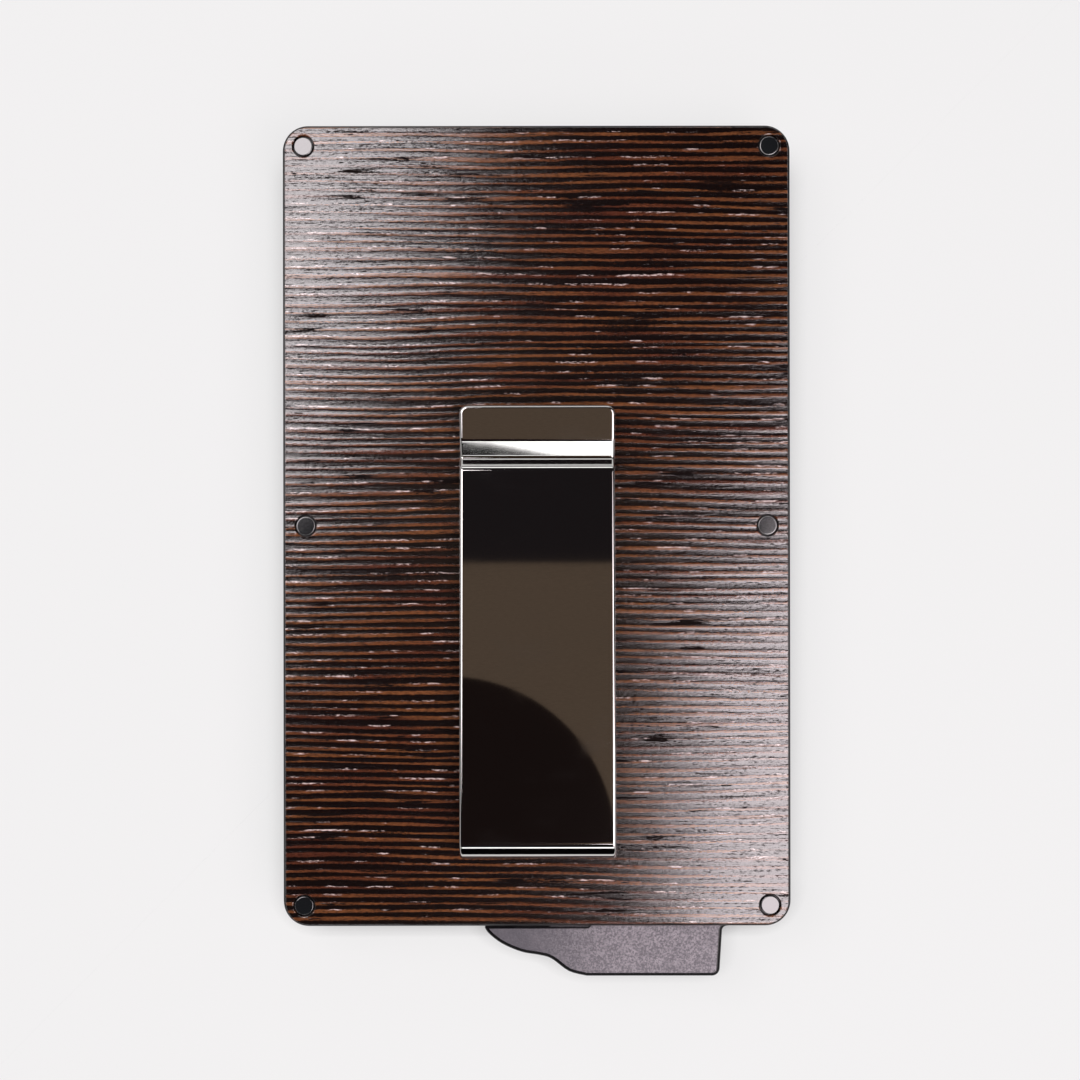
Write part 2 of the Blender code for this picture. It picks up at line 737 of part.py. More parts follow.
def build_lever(parts, cutters, frosted, bronze, nylon):
    """The lever, with the bush that it turns on and a washer on each side."""
    finish(make_lever(parts, cutters), frosted)
    inner = POST_BORE_RADIUS
    bush = ring("pivot_bush", inner, BUSH_RADIUS, FRAME_Z, FRAME_HEIGHT, PIVOT, parts)
    finish(bush, bronze, 35)
    inner = BUSH_RADIUS + RUNNING_GAP
    rear_z = FRAME_Z + FRAME_HEIGHT - WASHER_THICK
    for name, bottom in (("front_washer", FRAME_Z), ("rear_washer", rear_z)):
        washer = ring(name, inner, WASHER_RADIUS, bottom, WASHER_THICK, PIVOT, parts)
        finish(washer, nylon, 35)


def build_spring(parts, cutters, steel):
    """The card spring and its two rivets."""
    root, leaf = make_spring(parts)
    seat = FRAME_Z + SPRING_THICK
    for i, y in enumerate(SPRING_RIVETS_Y):
        radius = RIVET_SHANK + RIVET_GAP
        hole = "spring_hole_%d" % (i + 1)
        drill(root, hole, (0.0, y), radius, FRAME_Z - 0.0005, seat + 0.0005, cutters,
              SMALL_ROUND_STEPS)
        pin = rivet("spring_rivet_%d" % (i + 1), (0.0, y), FRONT_CARRIER_Z, seat, parts)
        finish(pin, steel, 35)
    finish(root, steel)
    finish(leaf, steel, 35)


def build_clip(parts, cutters, chrome, steel):
    """The money clip and its two rivets."""
    finish(make_clip_base(parts, cutters), chrome, 35)
    finish(make_clip_leaf(parts), chrome, 35)
    seat = REAR_FACE_Z + SEAT_GAP + CLIP_THICK
    for i, y in enumerate(CLIP_RIVETS_Y):
        pin = rivet("clip_rivet_%d" % (i + 1), (CLIP_X, y), REAR_CARRIER_Z, seat, parts)
        finish(pin, steel, 35)


def main():
    """Build the wallet."""
    clear_scene()
    parts = new_collection("card_wallet_with_money_clip")
    cutters = new_collection("cutters")
    wood = new_material("wenge", (0.060, 0.026, 0.014), 0.38, 0.0)
    black = new_material("black_anodised", (0.010, 0.010, 0.011), 0.28, 0.7)
    rail_black = new_material("black_nylon", (0.014, 0.014, 0.015), 0.55, 0.0)
    polished = new_material("black_polished", (0.018, 0.020, 0.024), 0.10, 0.9)
    frosted = new_material("frosted_gunmetal", (0.22, 0.20, 0.23), 0.55, 0.6)
    bronze = new_material("bronze", (0.44, 0.27, 0.12), 0.35, 1.0)
    nylon = new_material("natural_nylon", (0.72, 0.70, 0.64), 0.45, 0.0)
    steel = new_material("spring_steel", (0.50, 0.50, 0.49), 0.30, 1.0)
    chrome = new_material("chrome", (0.62, 0.61, 0.60), 0.04, 1.0)
    build_covers(parts, cutters, black, wood)
    build_frame(parts, rail_black)
    build_posts(parts, cutters, polished)
    build_lever(parts, cutters, frosted, bronze, nylon)
    build_spring(parts, cutters, steel)
    build_clip(parts, cutters, chrome, steel)


main()
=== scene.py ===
"""Looks of a slim card wallet: wenge covers, a chrome money clip, a fanning lever and their hardware.

Lengths are in metres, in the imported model's own frame: X across the wallet, Y along it towards the card
mouth, Z through it towards the clip.
"""
from __future__ import annotations

import logging
import math
from abc import ABC, abstractmethod
from dataclasses import dataclass
from enum import Enum
from typing import Any, Callable, Mapping, Optional, Sequence, Union

import bmesh
import bpy
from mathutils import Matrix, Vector


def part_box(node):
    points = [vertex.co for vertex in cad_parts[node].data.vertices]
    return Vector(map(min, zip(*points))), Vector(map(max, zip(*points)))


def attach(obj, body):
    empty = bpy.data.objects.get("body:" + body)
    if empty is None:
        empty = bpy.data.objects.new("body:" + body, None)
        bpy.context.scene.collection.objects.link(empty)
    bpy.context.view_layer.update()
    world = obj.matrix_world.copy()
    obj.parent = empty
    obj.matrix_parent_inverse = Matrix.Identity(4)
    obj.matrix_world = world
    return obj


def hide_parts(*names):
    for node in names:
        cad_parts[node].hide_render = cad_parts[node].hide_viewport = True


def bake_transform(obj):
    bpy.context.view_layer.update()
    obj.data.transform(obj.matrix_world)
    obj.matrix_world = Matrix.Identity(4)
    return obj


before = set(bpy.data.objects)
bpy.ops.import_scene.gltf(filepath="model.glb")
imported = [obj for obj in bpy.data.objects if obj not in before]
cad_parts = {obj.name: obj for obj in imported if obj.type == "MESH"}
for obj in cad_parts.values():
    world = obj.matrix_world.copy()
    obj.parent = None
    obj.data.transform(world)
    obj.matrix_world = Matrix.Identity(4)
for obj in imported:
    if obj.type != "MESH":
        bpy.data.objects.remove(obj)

MM = 0.001
TINY = 1e-6
GAP = 0.05 * MM
DRILL = 0.85 * MM
PAST = MM
UP = Vector((0.0, 0.0, 1.0))
BLACK = (0.0, 0.0, 0.0)
LOG = logging.getLogger("wallet")

Piece = bpy.types.Object
Point2 = tuple[float, float]
Corner = tuple[float, float, float]
Colour = tuple[float, float, float]
Number = Union["Value", float]
Sockets = Mapping[Union[str, int], Any]


class Kind(Enum):
    """The parts of a mesh that are picked in edit mode."""

    VERT = "verts"
    EDGE = "edges"


class Side(Enum):
    """Which of the two covers a piece belongs to."""

    FRONT = "front"
    REAR = "rear"


def middle(node: str) -> Point2:
    """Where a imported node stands, as seen along Z."""
    low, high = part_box(node)
    return ((low.x + high.x) / 2, (low.y + high.y) / 2)


def rivet_centres(prefix: str) -> list[Point2]:
    """Where the rivets whose names start like this stand."""
    return [middle(node) for node in sorted(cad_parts) if node.startswith(prefix)]


def in_metres(points: Sequence[Sequence[float]]) -> list[tuple[float, ...]]:
    """Points or corners in millimetres, turned into metres."""
    return [tuple(part * MM for part in point) for point in points]


# Outlines


class Outline:
    """Plane outlines, worked out as points before they are drawn as meshes."""

    @staticmethod
    def arc(centre: Point2, radius: float, start: float, end: float, steps: int) -> list[Point2]:
        """Points along an arc.

        Args:
            centre: the arc's centre.
            radius: its radius.
            start: the angle it starts at, in degrees.
            end: the angle it ends at, in degrees.
            steps: how many straight steps it has.

        Returns:
            The points, both ends among them.
        """
        angles = [math.radians(start + (end - start) * i / steps) for i in range(steps + 1)]
        return [(centre[0] + radius * math.cos(a), centre[1] + radius * math.sin(a)) for a in angles]

    @staticmethod
    def fillet(before: Sequence[float], corner: Corner, after: Sequence[float], steps: int) -> list[Point2]:
        """The arc that rounds one corner.

        Args:
            before: the point before the corner.
            corner: the corner's place and the radius of its arc.
            after: the point after the corner.
            steps: how many straight steps the arc has.

        Returns:
            The arc's points.
        """
        place = Vector(corner[:2])
        inward = (Vector(before[:2]) - place).normalized()
        outward = (Vector(after[:2]) - place).normalized()
        half = inward.angle(outward) / 2
        centre = place + (inward + outward).normalized() * (corner[2] / math.sin(half))
        reach = corner[2] / math.tan(half)
        start = place + inward * reach - centre
        sweep = start.angle_signed(place + outward * reach - centre)
        points = []
        for i in range(steps + 1):
            turn = -sweep * i / steps
            x = start.x * math.cos(turn) - start.y * math.sin(turn)
            y = start.x * math.sin(turn) + start.y * math.cos(turn)
            points.append((centre.x + x, centre.y + y))
        return points

    @staticmethod
    def rounded(corners: Sequence[Corner], closed: bool = True, steps: int = 8) -> list[Point2]:
        """An outline with rounded corners.

        Args:
            corners: each corner as x, y and the radius of its arc, 0 where it stays sharp.
            closed: whether the outline runs back to its start.
            steps: how many straight steps each arc has.

        Returns:
            The outline's points.
        """
        points: list[Point2] = []
        for i, corner in enumerate(corners):
            at_end = not closed and i in (0, len(corners) - 1)
            if corner[2] == 0 or at_end:
                points.append((corner[0], corner[1]))
                continue
            after = corners[(i + 1) % len(corners)]
            points += Outline.fillet(corners[i - 1], corner, after, steps)
        return points

    @staticmethod
    def smooth(marks: Sequence[Point2], steps: int) -> list[Point2]:
        """A smooth run through marks.

        Args:
            marks: the points that the run passes through.
            steps: how many straight steps there are from each mark to the next.

        Returns:
            The run's points.
        """
        run: list[Point2] = []
        for i in range(len(marks) - 1):
            before, start = Vector(marks[max(i - 1, 0)]), Vector(marks[i])
            end, after = Vector(marks[i + 1]), Vector(marks[min(i + 2, len(marks) - 1)])
            for step in range(steps):
                t = step / steps
                place = start * 2 + (end - before) * t
                place += (before * 2 - start * 5 + end * 4 - after) * t**2
                place += (start * 3 - before - end * 3 + after) * t**3
                run.append((place.x / 2, place.y / 2))
        run.append(marks[-1])
        return run


# The bench: modelling moves


class Bench:
    """Modelling moves, each made with Blender's own operators on the piece at hand."""

    @staticmethod
    def rest() -> None:
        """Leave edit mode and let go of everything."""
        if bpy.context.object is not None and bpy.context.object.mode != "OBJECT":
            bpy.ops.object.mode_set(mode="OBJECT")
        bpy.ops.object.select_all(action="DESELECT")

    @staticmethod
    def hold(piece: Piece, edit: bool = False) -> None:
        """Take one piece in hand.

        Args:
            piece: the piece.
            edit: whether to go into edit mode on it.
        """
        Bench.rest()
        piece.select_set(True)
        bpy.context.view_layer.objects.active = piece
        if edit:
            bpy.ops.object.mode_set(mode="EDIT")

    @staticmethod
    def settle(name: str) -> Piece:
        """Name the new piece in hand and put its place into its mesh.

        Args:
            name: the piece's name.

        Returns:
            The piece, out of edit mode.
        """
        if bpy.context.object.mode != "OBJECT":
            bpy.ops.object.mode_set(mode="OBJECT")
        bpy.ops.object.transform_apply(location=True, rotation=True, scale=True)
        piece = bpy.context.object
        piece.name = name
        piece.data.name = name
        return piece

    @staticmethod
    def rod(name: str, centre: Point2, radius: float, low: float, high: float, sides: int = 48) -> Piece:
        """A round or many-sided rod along Z.

        Args:
            name: the piece's name.
            centre: where its middle line stands.
            radius: its radius, to its corners.
            low: its lowest height.
            high: its highest height.
            sides: how many sides it has.

        Returns:
            The rod.
        """
        Bench.rest()
        place = (centre[0], centre[1], (low + high) / 2)
        bpy.ops.mesh.primitive_cylinder_add(vertices=sides, radius=radius, depth=high - low, location=place)
        return Bench.settle(name)

    @staticmethod
    def chain(name: str, points: Sequence[Sequence[float]], closed: bool = False) -> Piece:
        """A chain of edges, drawn by extruding one vertex from point to point.

        Args:
            name: the piece's name.
            points: the chain's points.
            closed: whether it runs back to its start and is filled with one face.

        Returns:
            The piece, in edit mode with all of it selected.
        """
        Bench.rest()
        bpy.ops.mesh.primitive_plane_add(size=MM, location=points[0])
        Bench.settle(name)
        bpy.ops.object.mode_set(mode="EDIT")
        bpy.ops.mesh.select_mode(type="VERT")
        bpy.ops.mesh.merge(type="CENTER")
        for here, there in zip(points, points[1:]):
            step = Vector(there) - Vector(here)
            bpy.ops.mesh.extrude_region_move(TRANSFORM_OT_translate={"value": step})
        if closed:
            ends = [Vector(points[0]), Vector(points[-1])]
            Bench.pick(Kind.VERT, lambda vert: min((vert.co - end).length for end in ends) < TINY)
            bpy.ops.mesh.edge_face_add()
            bpy.ops.mesh.select_all(action="SELECT")
            bpy.ops.mesh.edge_face_add()
        bpy.ops.mesh.select_all(action="SELECT")
        return bpy.context.object

    @staticmethod
    def pick(kind: Kind, test: Callable[[Any], bool]) -> None:
        """Pick parts of the mesh in edit mode, by their place or normal.

        Args:
            kind: what kind of part to pick.
            test: says whether a part is picked.
        """
        bpy.ops.mesh.select_mode(type=kind.name)
        bpy.ops.mesh.select_all(action="DESELECT")
        mesh = bpy.context.object.data
        shape = bmesh.from_edit_mesh(mesh)
        for part in filter(test, getattr(shape, kind.value)):
            part.select_set(True)
        shape.select_flush_mode()
        bmesh.update_edit_mesh(mesh)

    @staticmethod
    def upright(edge: Any) -> bool:
        """Whether an edge runs through the thickness."""
        return abs(edge.verts[0].co.z - edge.verts[1].co.z) > TINY

    @staticmethod
    def level(edge: Any) -> bool:
        """Whether an edge runs level."""
        return not Bench.upright(edge)

    @staticmethod
    def prism(name: str, outline: Sequence[Point2], low: float, high: float) -> Piece:
        """A flat plate with this outline.

        Args:
            name: the piece's name.
            outline: its outline, as seen along Z.
            low: the height of its underside.
            high: the height of its top.

        Returns:
            The plate.
        """
        piece = Bench.chain(name, [(x, y, low) for x, y in outline], closed=True)
        bpy.ops.mesh.extrude_region_move(TRANSFORM_OT_translate={"value": UP * (high - low)})
        Bench.outward()
        bpy.ops.object.mode_set(mode="OBJECT")
        return piece

    @staticmethod
    def turned(name: str, profile: Sequence[Point2], centre: Point2, steps: int = 64) -> Piece:
        """A piece turned about an upright line.

        Args:
            name: the piece's name.
            profile: the radius and height of each point of its outside.
            centre: where the line stands.
            steps: how many steps go round.

        Returns:
            The turned piece.
        """
        x, y = centre
        piece = Bench.chain(name, [(x + radius, y, height) for radius, height in profile])
        bpy.ops.mesh.spin(steps=steps, angle=math.tau, center=(x, y, 0.0), axis=UP, use_auto_merge=True)
        bpy.ops.mesh.select_all(action="SELECT")
        bpy.ops.mesh.remove_doubles(threshold=TINY)
        Bench.outward()
        bpy.ops.object.mode_set(mode="OBJECT")
        return piece

    @staticmethod
    def outward() -> None:
        """Turn all faces of the mesh in edit mode outwards."""
        bpy.ops.mesh.select_all(action="SELECT")
        bpy.ops.mesh.normals_make_consistent(inside=False)

    @staticmethod
    def round_picked(width: float, segments: int) -> None:
        """Round the picked edges of the mesh in edit mode."""
        bpy.ops.mesh.bevel(
            offset=width, offset_type="OFFSET", segments=segments, profile=0.5, clamp_overlap=False
        )

    @staticmethod
    def apply(piece: Piece, kind: str, **settings: Any) -> None:
        """Put one modifier on a piece and apply it.

        Args:
            piece: the piece.
            kind: the modifier's type.
            **settings: the modifier's settings.
        """
        Bench.hold(piece)
        modifier = piece.modifiers.new(kind.title(), kind)
        for key, value in settings.items():
            setattr(modifier, key, value)
        bpy.ops.object.modifier_apply(modifier=modifier.name)

    @staticmethod
    def carve(piece: Piece, tools: Sequence[Piece], operation: str = "DIFFERENCE") -> None:
        """Cut pieces with tools, which are used up.

        Args:
            piece: the piece to cut.
            tools: the tools, which don't overlap each other.
            operation: what to do with the tools' shape.
        """
        Bench.hold(tools[0])
        for tool in tools:
            tool.select_set(True)
        if len(tools) > 1:
            bpy.ops.object.join()
        tool = bpy.context.object
        Bench.apply(piece, "BOOLEAN", object=tool, operation=operation, solver="EXACT")
        Bench.hold(tool)
        bpy.ops.object.delete()

    @staticmethod
    def polish(piece: Piece, angle: float = 35.0) -> None:
        """Shade a finished piece smooth, with its flats kept flat.

        Args:
            piece: the piece.
            angle: edges sharper than this, in degrees, stay sharp.
        """
        Bench.hold(piece)
        bpy.ops.object.shade_smooth_by_angle(angle=math.radians(angle))
        Bench.apply(piece, "WEIGHTED_NORMAL", keep_sharp=True, weight=50, mode="FACE_AREA")


# Node sheets


class Value:
    """A number or vector that varies over a surface, for use in Python expressions."""

    def __init__(self, sheet: "Sheet", socket: bpy.types.NodeSocket) -> None:
        """Wrap one output socket of a node."""
        self.sheet = sheet
        self.socket = socket

    def __add__(self, other: Number) -> "Value":
        """Self plus other."""
        return self.sheet.maths("ADD", self, other)

    def __radd__(self, other: Number) -> "Value":
        """Other plus self."""
        return self.sheet.maths("ADD", other, self)

    def __sub__(self, other: Number) -> "Value":
        """Self less other."""
        return self.sheet.maths("SUBTRACT", self, other)

    def __rsub__(self, other: Number) -> "Value":
        """Other less self."""
        return self.sheet.maths("SUBTRACT", other, self)

    def __mul__(self, other: Number) -> "Value":
        """Self times other."""
        return self.sheet.maths("MULTIPLY", self, other)


@dataclass(frozen=True)
class Grain:
    """A noise pattern: its lumps to the millimetre along X, Y and Z, and how finely they are broken up."""

    scale: Corner
    detail: float = 1.0
    roughness: float = 0.5


class Sheet:
    """A node tree that a finish or a relief is written on."""

    def __init__(self, tree: bpy.types.NodeTree) -> None:
        """Start on a cleared tree."""
        self.tree = tree
        self.tree.nodes.clear()

    @staticmethod
    def find(sockets: Any, key: Union[str, int]) -> bpy.types.NodeSocket:
        """Find a socket.

        Args:
            sockets: a node's inputs or outputs.
            key: the socket's identifier, name or number.

        Returns:
            The socket.
        """
        if isinstance(key, int):
            return sockets[key]
        for socket in sockets:
            if socket.identifier == key:
                return socket
        return sockets[key]

    def add(
        self,
        kind: str,
        settings: Optional[Mapping[str, Any]] = None,
        sockets: Optional[Sockets] = None,
        output: Union[str, int] = 0,
    ) -> Optional[Value]:
        """Add one node.

        Args:
            kind: the node's type.
            settings: its settings, a ramp's stops among them as "stops".
            sockets: values or links for its inputs.
            output: which of its outputs is wanted.

        Returns:
            That output, or None where the node has none.
        """
        node = self.tree.nodes.new(kind)
        for key, value in (settings or {}).items():
            if key != "stops":
                setattr(node, key, value)
                continue
            elements = node.color_ramp.elements
            while len(elements) < len(value):
                elements.new(0.5)
            for element, (position, colour) in zip(elements, value):
                element.position = position
                element.color = (*colour, 1.0)
        for key, value in (sockets or {}).items():
            socket = self.find(node.inputs, key)
            if isinstance(value, Value):
                self.tree.links.new(value.socket, socket)
            elif socket.type == "RGBA" and len(value) == 3:
                socket.default_value = (*value, 1.0)
            else:
                socket.default_value = value
        return Value(self, self.find(node.outputs, output)) if len(node.outputs) else None

    def maths(self, operation: str, *terms: Number) -> Value:
        """One step of arithmetic on numbers."""
        return self.add("ShaderNodeMath", {"operation": operation}, dict(enumerate(terms)))

    def stretch(self, vector: Value, factors: Sequence[float]) -> Value:
        """A vector with each of its parts multiplied by its own factor."""
        sockets = {0: vector, 1: tuple(factors)}
        return self.add("ShaderNodeVectorMath", {"operation": "MULTIPLY"}, sockets)

    def parts(self, vector: Value) -> tuple[Value, Value, Value]:
        """The three parts of a vector."""
        split = self.add("ShaderNodeSeparateXYZ", {}, {0: vector})
        outputs = split.socket.node.outputs
        return Value(self, outputs[0]), Value(self, outputs[1]), Value(self, outputs[2])

    def joined(self, x: Number, y: Number, z: Number) -> Value:
        """A vector from its three parts."""
        return self.add("ShaderNodeCombineXYZ", {}, {0: x, 1: y, 2: z})

    def noise(self, place: Value, grain: Grain) -> Value:
        """Smooth noise about 0.5.

        Args:
            place: the place in millimetres.
            grain: the noise's pattern.

        Returns:
            The noise.
        """
        sockets = {
            "Vector": self.stretch(place, grain.scale),
            "Scale": 1.0,
            "Detail": grain.detail,
            "Roughness": grain.roughness,
        }
        return self.add("ShaderNodeTexNoise", {"noise_dimensions": "3D"}, sockets)

    def step(self, value: Number, low: float, high: float) -> Value:
        """0 below low and 1 above high, with a smooth rise between."""
        sockets = {"Value": value, "From Min": low, "From Max": high}
        return self.add("ShaderNodeMapRange", {"interpolation_type": "SMOOTHSTEP"}, sockets)

    def blend(self, mask: Number, first: Any, second: Any) -> Value:
        """The first colour where the mask is 0 and the second where it is 1."""
        sockets = {"Factor_Float": mask, "A_Color": first, "B_Color": second}
        return self.add("ShaderNodeMix", {"data_type": "RGBA"}, sockets, "Result_Color")

    def millimetres(self, place: Value) -> Value:
        """A place in metres, turned into millimetres."""
        return self.stretch(place, (1 / MM,) * 3)

    def place(self) -> Value:
        """The place on the piece, in millimetres."""
        return self.millimetres(self.add("ShaderNodeTexCoord", output="Object"))

    def bump(self, height: Value) -> Value:
        """A surface normal from a height in millimetres."""
        return self.add("ShaderNodeBump", {}, {"Strength": 1.0, "Distance": MM, "Height": height})

    def surface(
        self, sockets: Sockets, mask: Optional[Value] = None, other: Optional[Sockets] = None
    ) -> None:
        """Write the sheet's shader and connect it to the surface.

        Args:
            sockets: what the shader's sockets hold.
            mask: where a second shader takes its place, if anywhere.
            other: what the second shader's sockets hold.
        """
        shader = self.add("ShaderNodeBsdfPrincipled", {}, sockets)
        if other is not None:
            second = self.add("ShaderNodeBsdfPrincipled", {}, other)
            shader = self.add("ShaderNodeMixShader", {}, {0: mask, 1: shader, 2: second})
        self.add("ShaderNodeOutputMaterial", {}, {"Surface": shader})


def new_material(title: str) -> tuple[bpy.types.Material, Sheet]:
    """A new material, and the sheet to write it on."""
    material = bpy.data.materials.new(title)
    material.use_nodes = True
    return material, Sheet(material.node_tree)


# Finishes


@dataclass(frozen=True)
class Finish(ABC):
    """A finish of the wallet, made once and shared by its pieces."""

    slot: str
    title: str

    @abstractmethod
    def write(self, sheet: Sheet) -> None:
        """Write the finish on a sheet."""

    def material(self) -> bpy.types.Material:
        """The finish's material, made at its first use."""
        material = bpy.data.materials.get(self.title)
        if material is None:
            material, sheet = new_material(self.title)
            self.write(sheet)
        return material

    def dress(self, piece: Piece) -> None:
        """Give a whole piece this finish."""
        piece.data.materials.clear()
        piece.data.materials.append(self.material())


@dataclass(frozen=True)
class Wenge(Finish):
    """Satin-lacquered wenge veneer: brown lines across the wallet, open pores, a brushed-out relief, and
    highlights painted as pale dashes on the lines.
    """

    slot: str = "wenge_veneer"
    title: str = "Wenge veneer"
    pitch: float = 1.0
    relief: float = 0.02
    wander_size: float = 2.4
    ripple_size: float = 0.28
    uneven_turn: float = 6.0
    wander: Grain = Grain((0.022, 0.05, 0.2))
    ripple: Grain = Grain((0.12, 0.5, 0.2), 2.0)
    uneven: Grain = Grain((0.0, 0.42, 0.5))
    strength: Grain = Grain((0.06, 0.9, 0.2), 2.0)
    hair: Grain = Grain((0.13, 6.5, 1.0), 2.0, 0.7)
    speckle: Grain = Grain((1.7, 6.5, 2.0), 2.0, 0.8)
    dash: Grain = Grain((0.12, 1.5, 1.0))
    fleck: Grain = Grain((0.5, 2.8, 1.0))
    cluster: Grain = Grain((0.06, 0.12, 0.3))
    hue: Grain = Grain((0.05, 0.3, 0.3), 2.0)
    sliver: Grain = Grain((0.3, 1.3, 1.0))
    ridge: Grain = Grain((0.3, 2.2, 1.0))
    long_pore: Point2 = (0.79, 0.86)
    short_pore: Point2 = (0.83, 0.88)
    # How strongly the painted highlights, pale dashes on the lines, show in the base colour.
    painted_glint_strength: float = 0.85
    worn_share: float = 0.95
    dark: Colour = (0.0028, 0.0008, 0.0006)
    umber: Colour = (0.075, 0.02, 0.01)
    brown: Colour = (0.155, 0.056, 0.02)
    # Colour of the painted highlights on the lines.
    painted_glint: Colour = (0.66, 0.54, 0.52)

    def phase(self, sheet: Sheet, place: Value) -> Value:
        """How far round its cycle the wood's line pattern is, as an angle.

        Args:
            sheet: the sheet to write on.
            place: the place in millimetres.

        Returns:
            The angle, which grows along the wallet.
        """
        wander = sheet.noise(place, self.wander) - 0.5
        ripple = sheet.noise(place, self.ripple) - 0.5
        along = sheet.parts(place)[1] + wander * self.wander_size + ripple * self.ripple_size
        uneven = sheet.noise(sheet.joined(0.0, along, 1.0), self.uneven) - 0.5
        return along * (math.tau / self.pitch) + uneven * self.uneven_turn

    def lines(self, sheet: Sheet, place: Value) -> Value:
        """The wood's lines, which both the relief and the colour follow.

        Args:
            sheet: the sheet to write on.
            place: the place in millimetres.

        Returns:
            1 on a line's crest and 0 in the trough beside it.
        """
        wave = sheet.maths("SINE", self.phase(sheet, place))
        strength = sheet.noise(place, self.strength) - 0.5
        return sheet.step(wave * 0.5 + strength * 1.4 + 0.5, 0.3, 1.0)

    def write(self, sheet: Sheet) -> None:
        """Write the finish on a sheet.

        Args:
            sheet: the sheet to write on.
        """
        place = sheet.place()
        lines = self.lines(sheet, place)
        hair = sheet.noise(place, self.hair)
        speckle = sheet.noise(place, self.speckle)
        grit = speckle - 0.5
        cluster = sheet.noise(place, self.cluster)
        dash = sheet.noise(place, self.dash) + cluster * 0.25 + grit * 0.5
        fleck = sheet.noise(place, self.fleck) + cluster * 0.2 + grit * 0.4
        pore = sheet.maths("MAXIMUM", sheet.step(dash, *self.long_pore), sheet.step(fleck, *self.short_pore))
        brown = sheet.blend(sheet.step(sheet.noise(place, self.hue), 0.3, 0.66), self.umber, self.brown)
        tone = lines * 0.95 + grit * 2.0 + (hair - 0.5) * 0.9
        base = sheet.blend(sheet.step(tone, 0.15, 1.35), self.dark, brown)
        base = sheet.blend(pore, base, self.dark)
        # Painted highlight: pale pink dashes put into the base colour on the shoulders of the lines, where
        # the lacquer catches the light.
        shoulder = sheet.maths("SINE", self.phase(sheet, place) - 1.0)
        sliver = sheet.noise(place, self.sliver)
        painted_glint = sheet.step(sliver, 0.57, 0.66) * sheet.step(shoulder + grit * 0.5, 0.7, 0.95)
        painted_glint = painted_glint * sheet.step(grit + hair * 0.6, 0.22, 0.5)
        base = sheet.blend(painted_glint * self.painted_glint_strength, base, self.painted_glint)
        ridge = sheet.noise(place, self.ridge)
        normal = sheet.bump(ridge * 0.012 + hair * 0.009 + speckle * 0.01 - pore * 0.003)
        whole = sheet.step(grit * 2.4 + (hair - 0.5) * 1.8, -0.5, -0.05)
        worn = self.worn_share - whole * self.worn_share
        open_grain = sheet.maths("MAXIMUM", pore, worn)
        gloss = {"Base Color": base, "Roughness": 0.11, "IOR": 1.92, "Normal": normal}
        dull = {"Base Color": base, "Roughness": 0.55, "IOR": 1.12, "Normal": normal}
        sheet.surface(gloss, open_grain, dull)

    def emboss(self, piece: Piece) -> None:
        """Raise the lines of the wood as a real relief on a flat, finely divided piece.

        Args:
            piece: the piece, whose face is at its full height.
        """
        tree = bpy.data.node_groups.new("Wenge relief", "GeometryNodeTree")
        tree.interface.new_socket("Geometry", in_out="INPUT", socket_type="NodeSocketGeometry")
        tree.interface.new_socket("Geometry", in_out="OUTPUT", socket_type="NodeSocketGeometry")
        sheet = Sheet(tree)
        shape = sheet.add("NodeGroupInput")
        place = sheet.millimetres(sheet.add("GeometryNodeInputPosition"))
        drop = (self.lines(sheet, place) - 1.0) * (self.relief * MM)
        sockets = {"Geometry": shape, "Offset": sheet.joined(0.0, 0.0, drop)}
        moved = sheet.add("GeometryNodeSetPosition", {}, sockets)
        sheet.add("NodeGroupOutput", {}, {"Geometry": moved})
        Bench.apply(piece, "NODES", node_group=tree)
        bpy.data.node_groups.remove(tree)


@dataclass(frozen=True)
class Coated(Finish):
    """A plain coated or moulded finish, with fine grain and rubbed edges."""

    colour: Colour = (0.02, 0.02, 0.02)
    rubbed: Colour = (0.05, 0.05, 0.05)
    rough: float = 0.4
    grain: float = 4.0
    depth: float = 0.004
    ior: float = 1.5
    cloud: Grain = Grain((0.12, 0.12, 0.12), 3.0, 0.55)
    edge_rise: Point2 = (0.15, 0.6)
    edge_fall: Point2 = (0.8, 0.985)

    def write(self, sheet: Sheet) -> None:
        """Write the finish on a sheet.

        Args:
            sheet: the sheet to write on.
        """
        place = sheet.place()
        fine = sheet.noise(place, Grain((self.grain,) * 3, 3.0, 0.6))
        broad = sheet.noise(place, self.cloud)
        facing = sheet.parts(sheet.add("ShaderNodeNewGeometry", output="Normal"))[2]
        level = sheet.maths("ABSOLUTE", facing)
        edge = sheet.step(level, *self.edge_rise) * (1.0 - sheet.step(level, *self.edge_fall))
        wear = edge * sheet.step(broad + (fine - 0.5) * 0.3, 0.35, 0.62)
        base = sheet.blend(wear, self.colour, self.rubbed)
        base = sheet.blend((broad - 0.35) * 0.35, base, tuple(part * 1.5 for part in self.colour))
        rough = self.rough + (fine - 0.5) * 0.12 + (broad - 0.5) * 0.15
        sheet.surface({
            "Base Color": base,
            "Roughness": rough,
            "IOR": self.ior,
            "Normal": sheet.bump(fine * self.depth),
        })


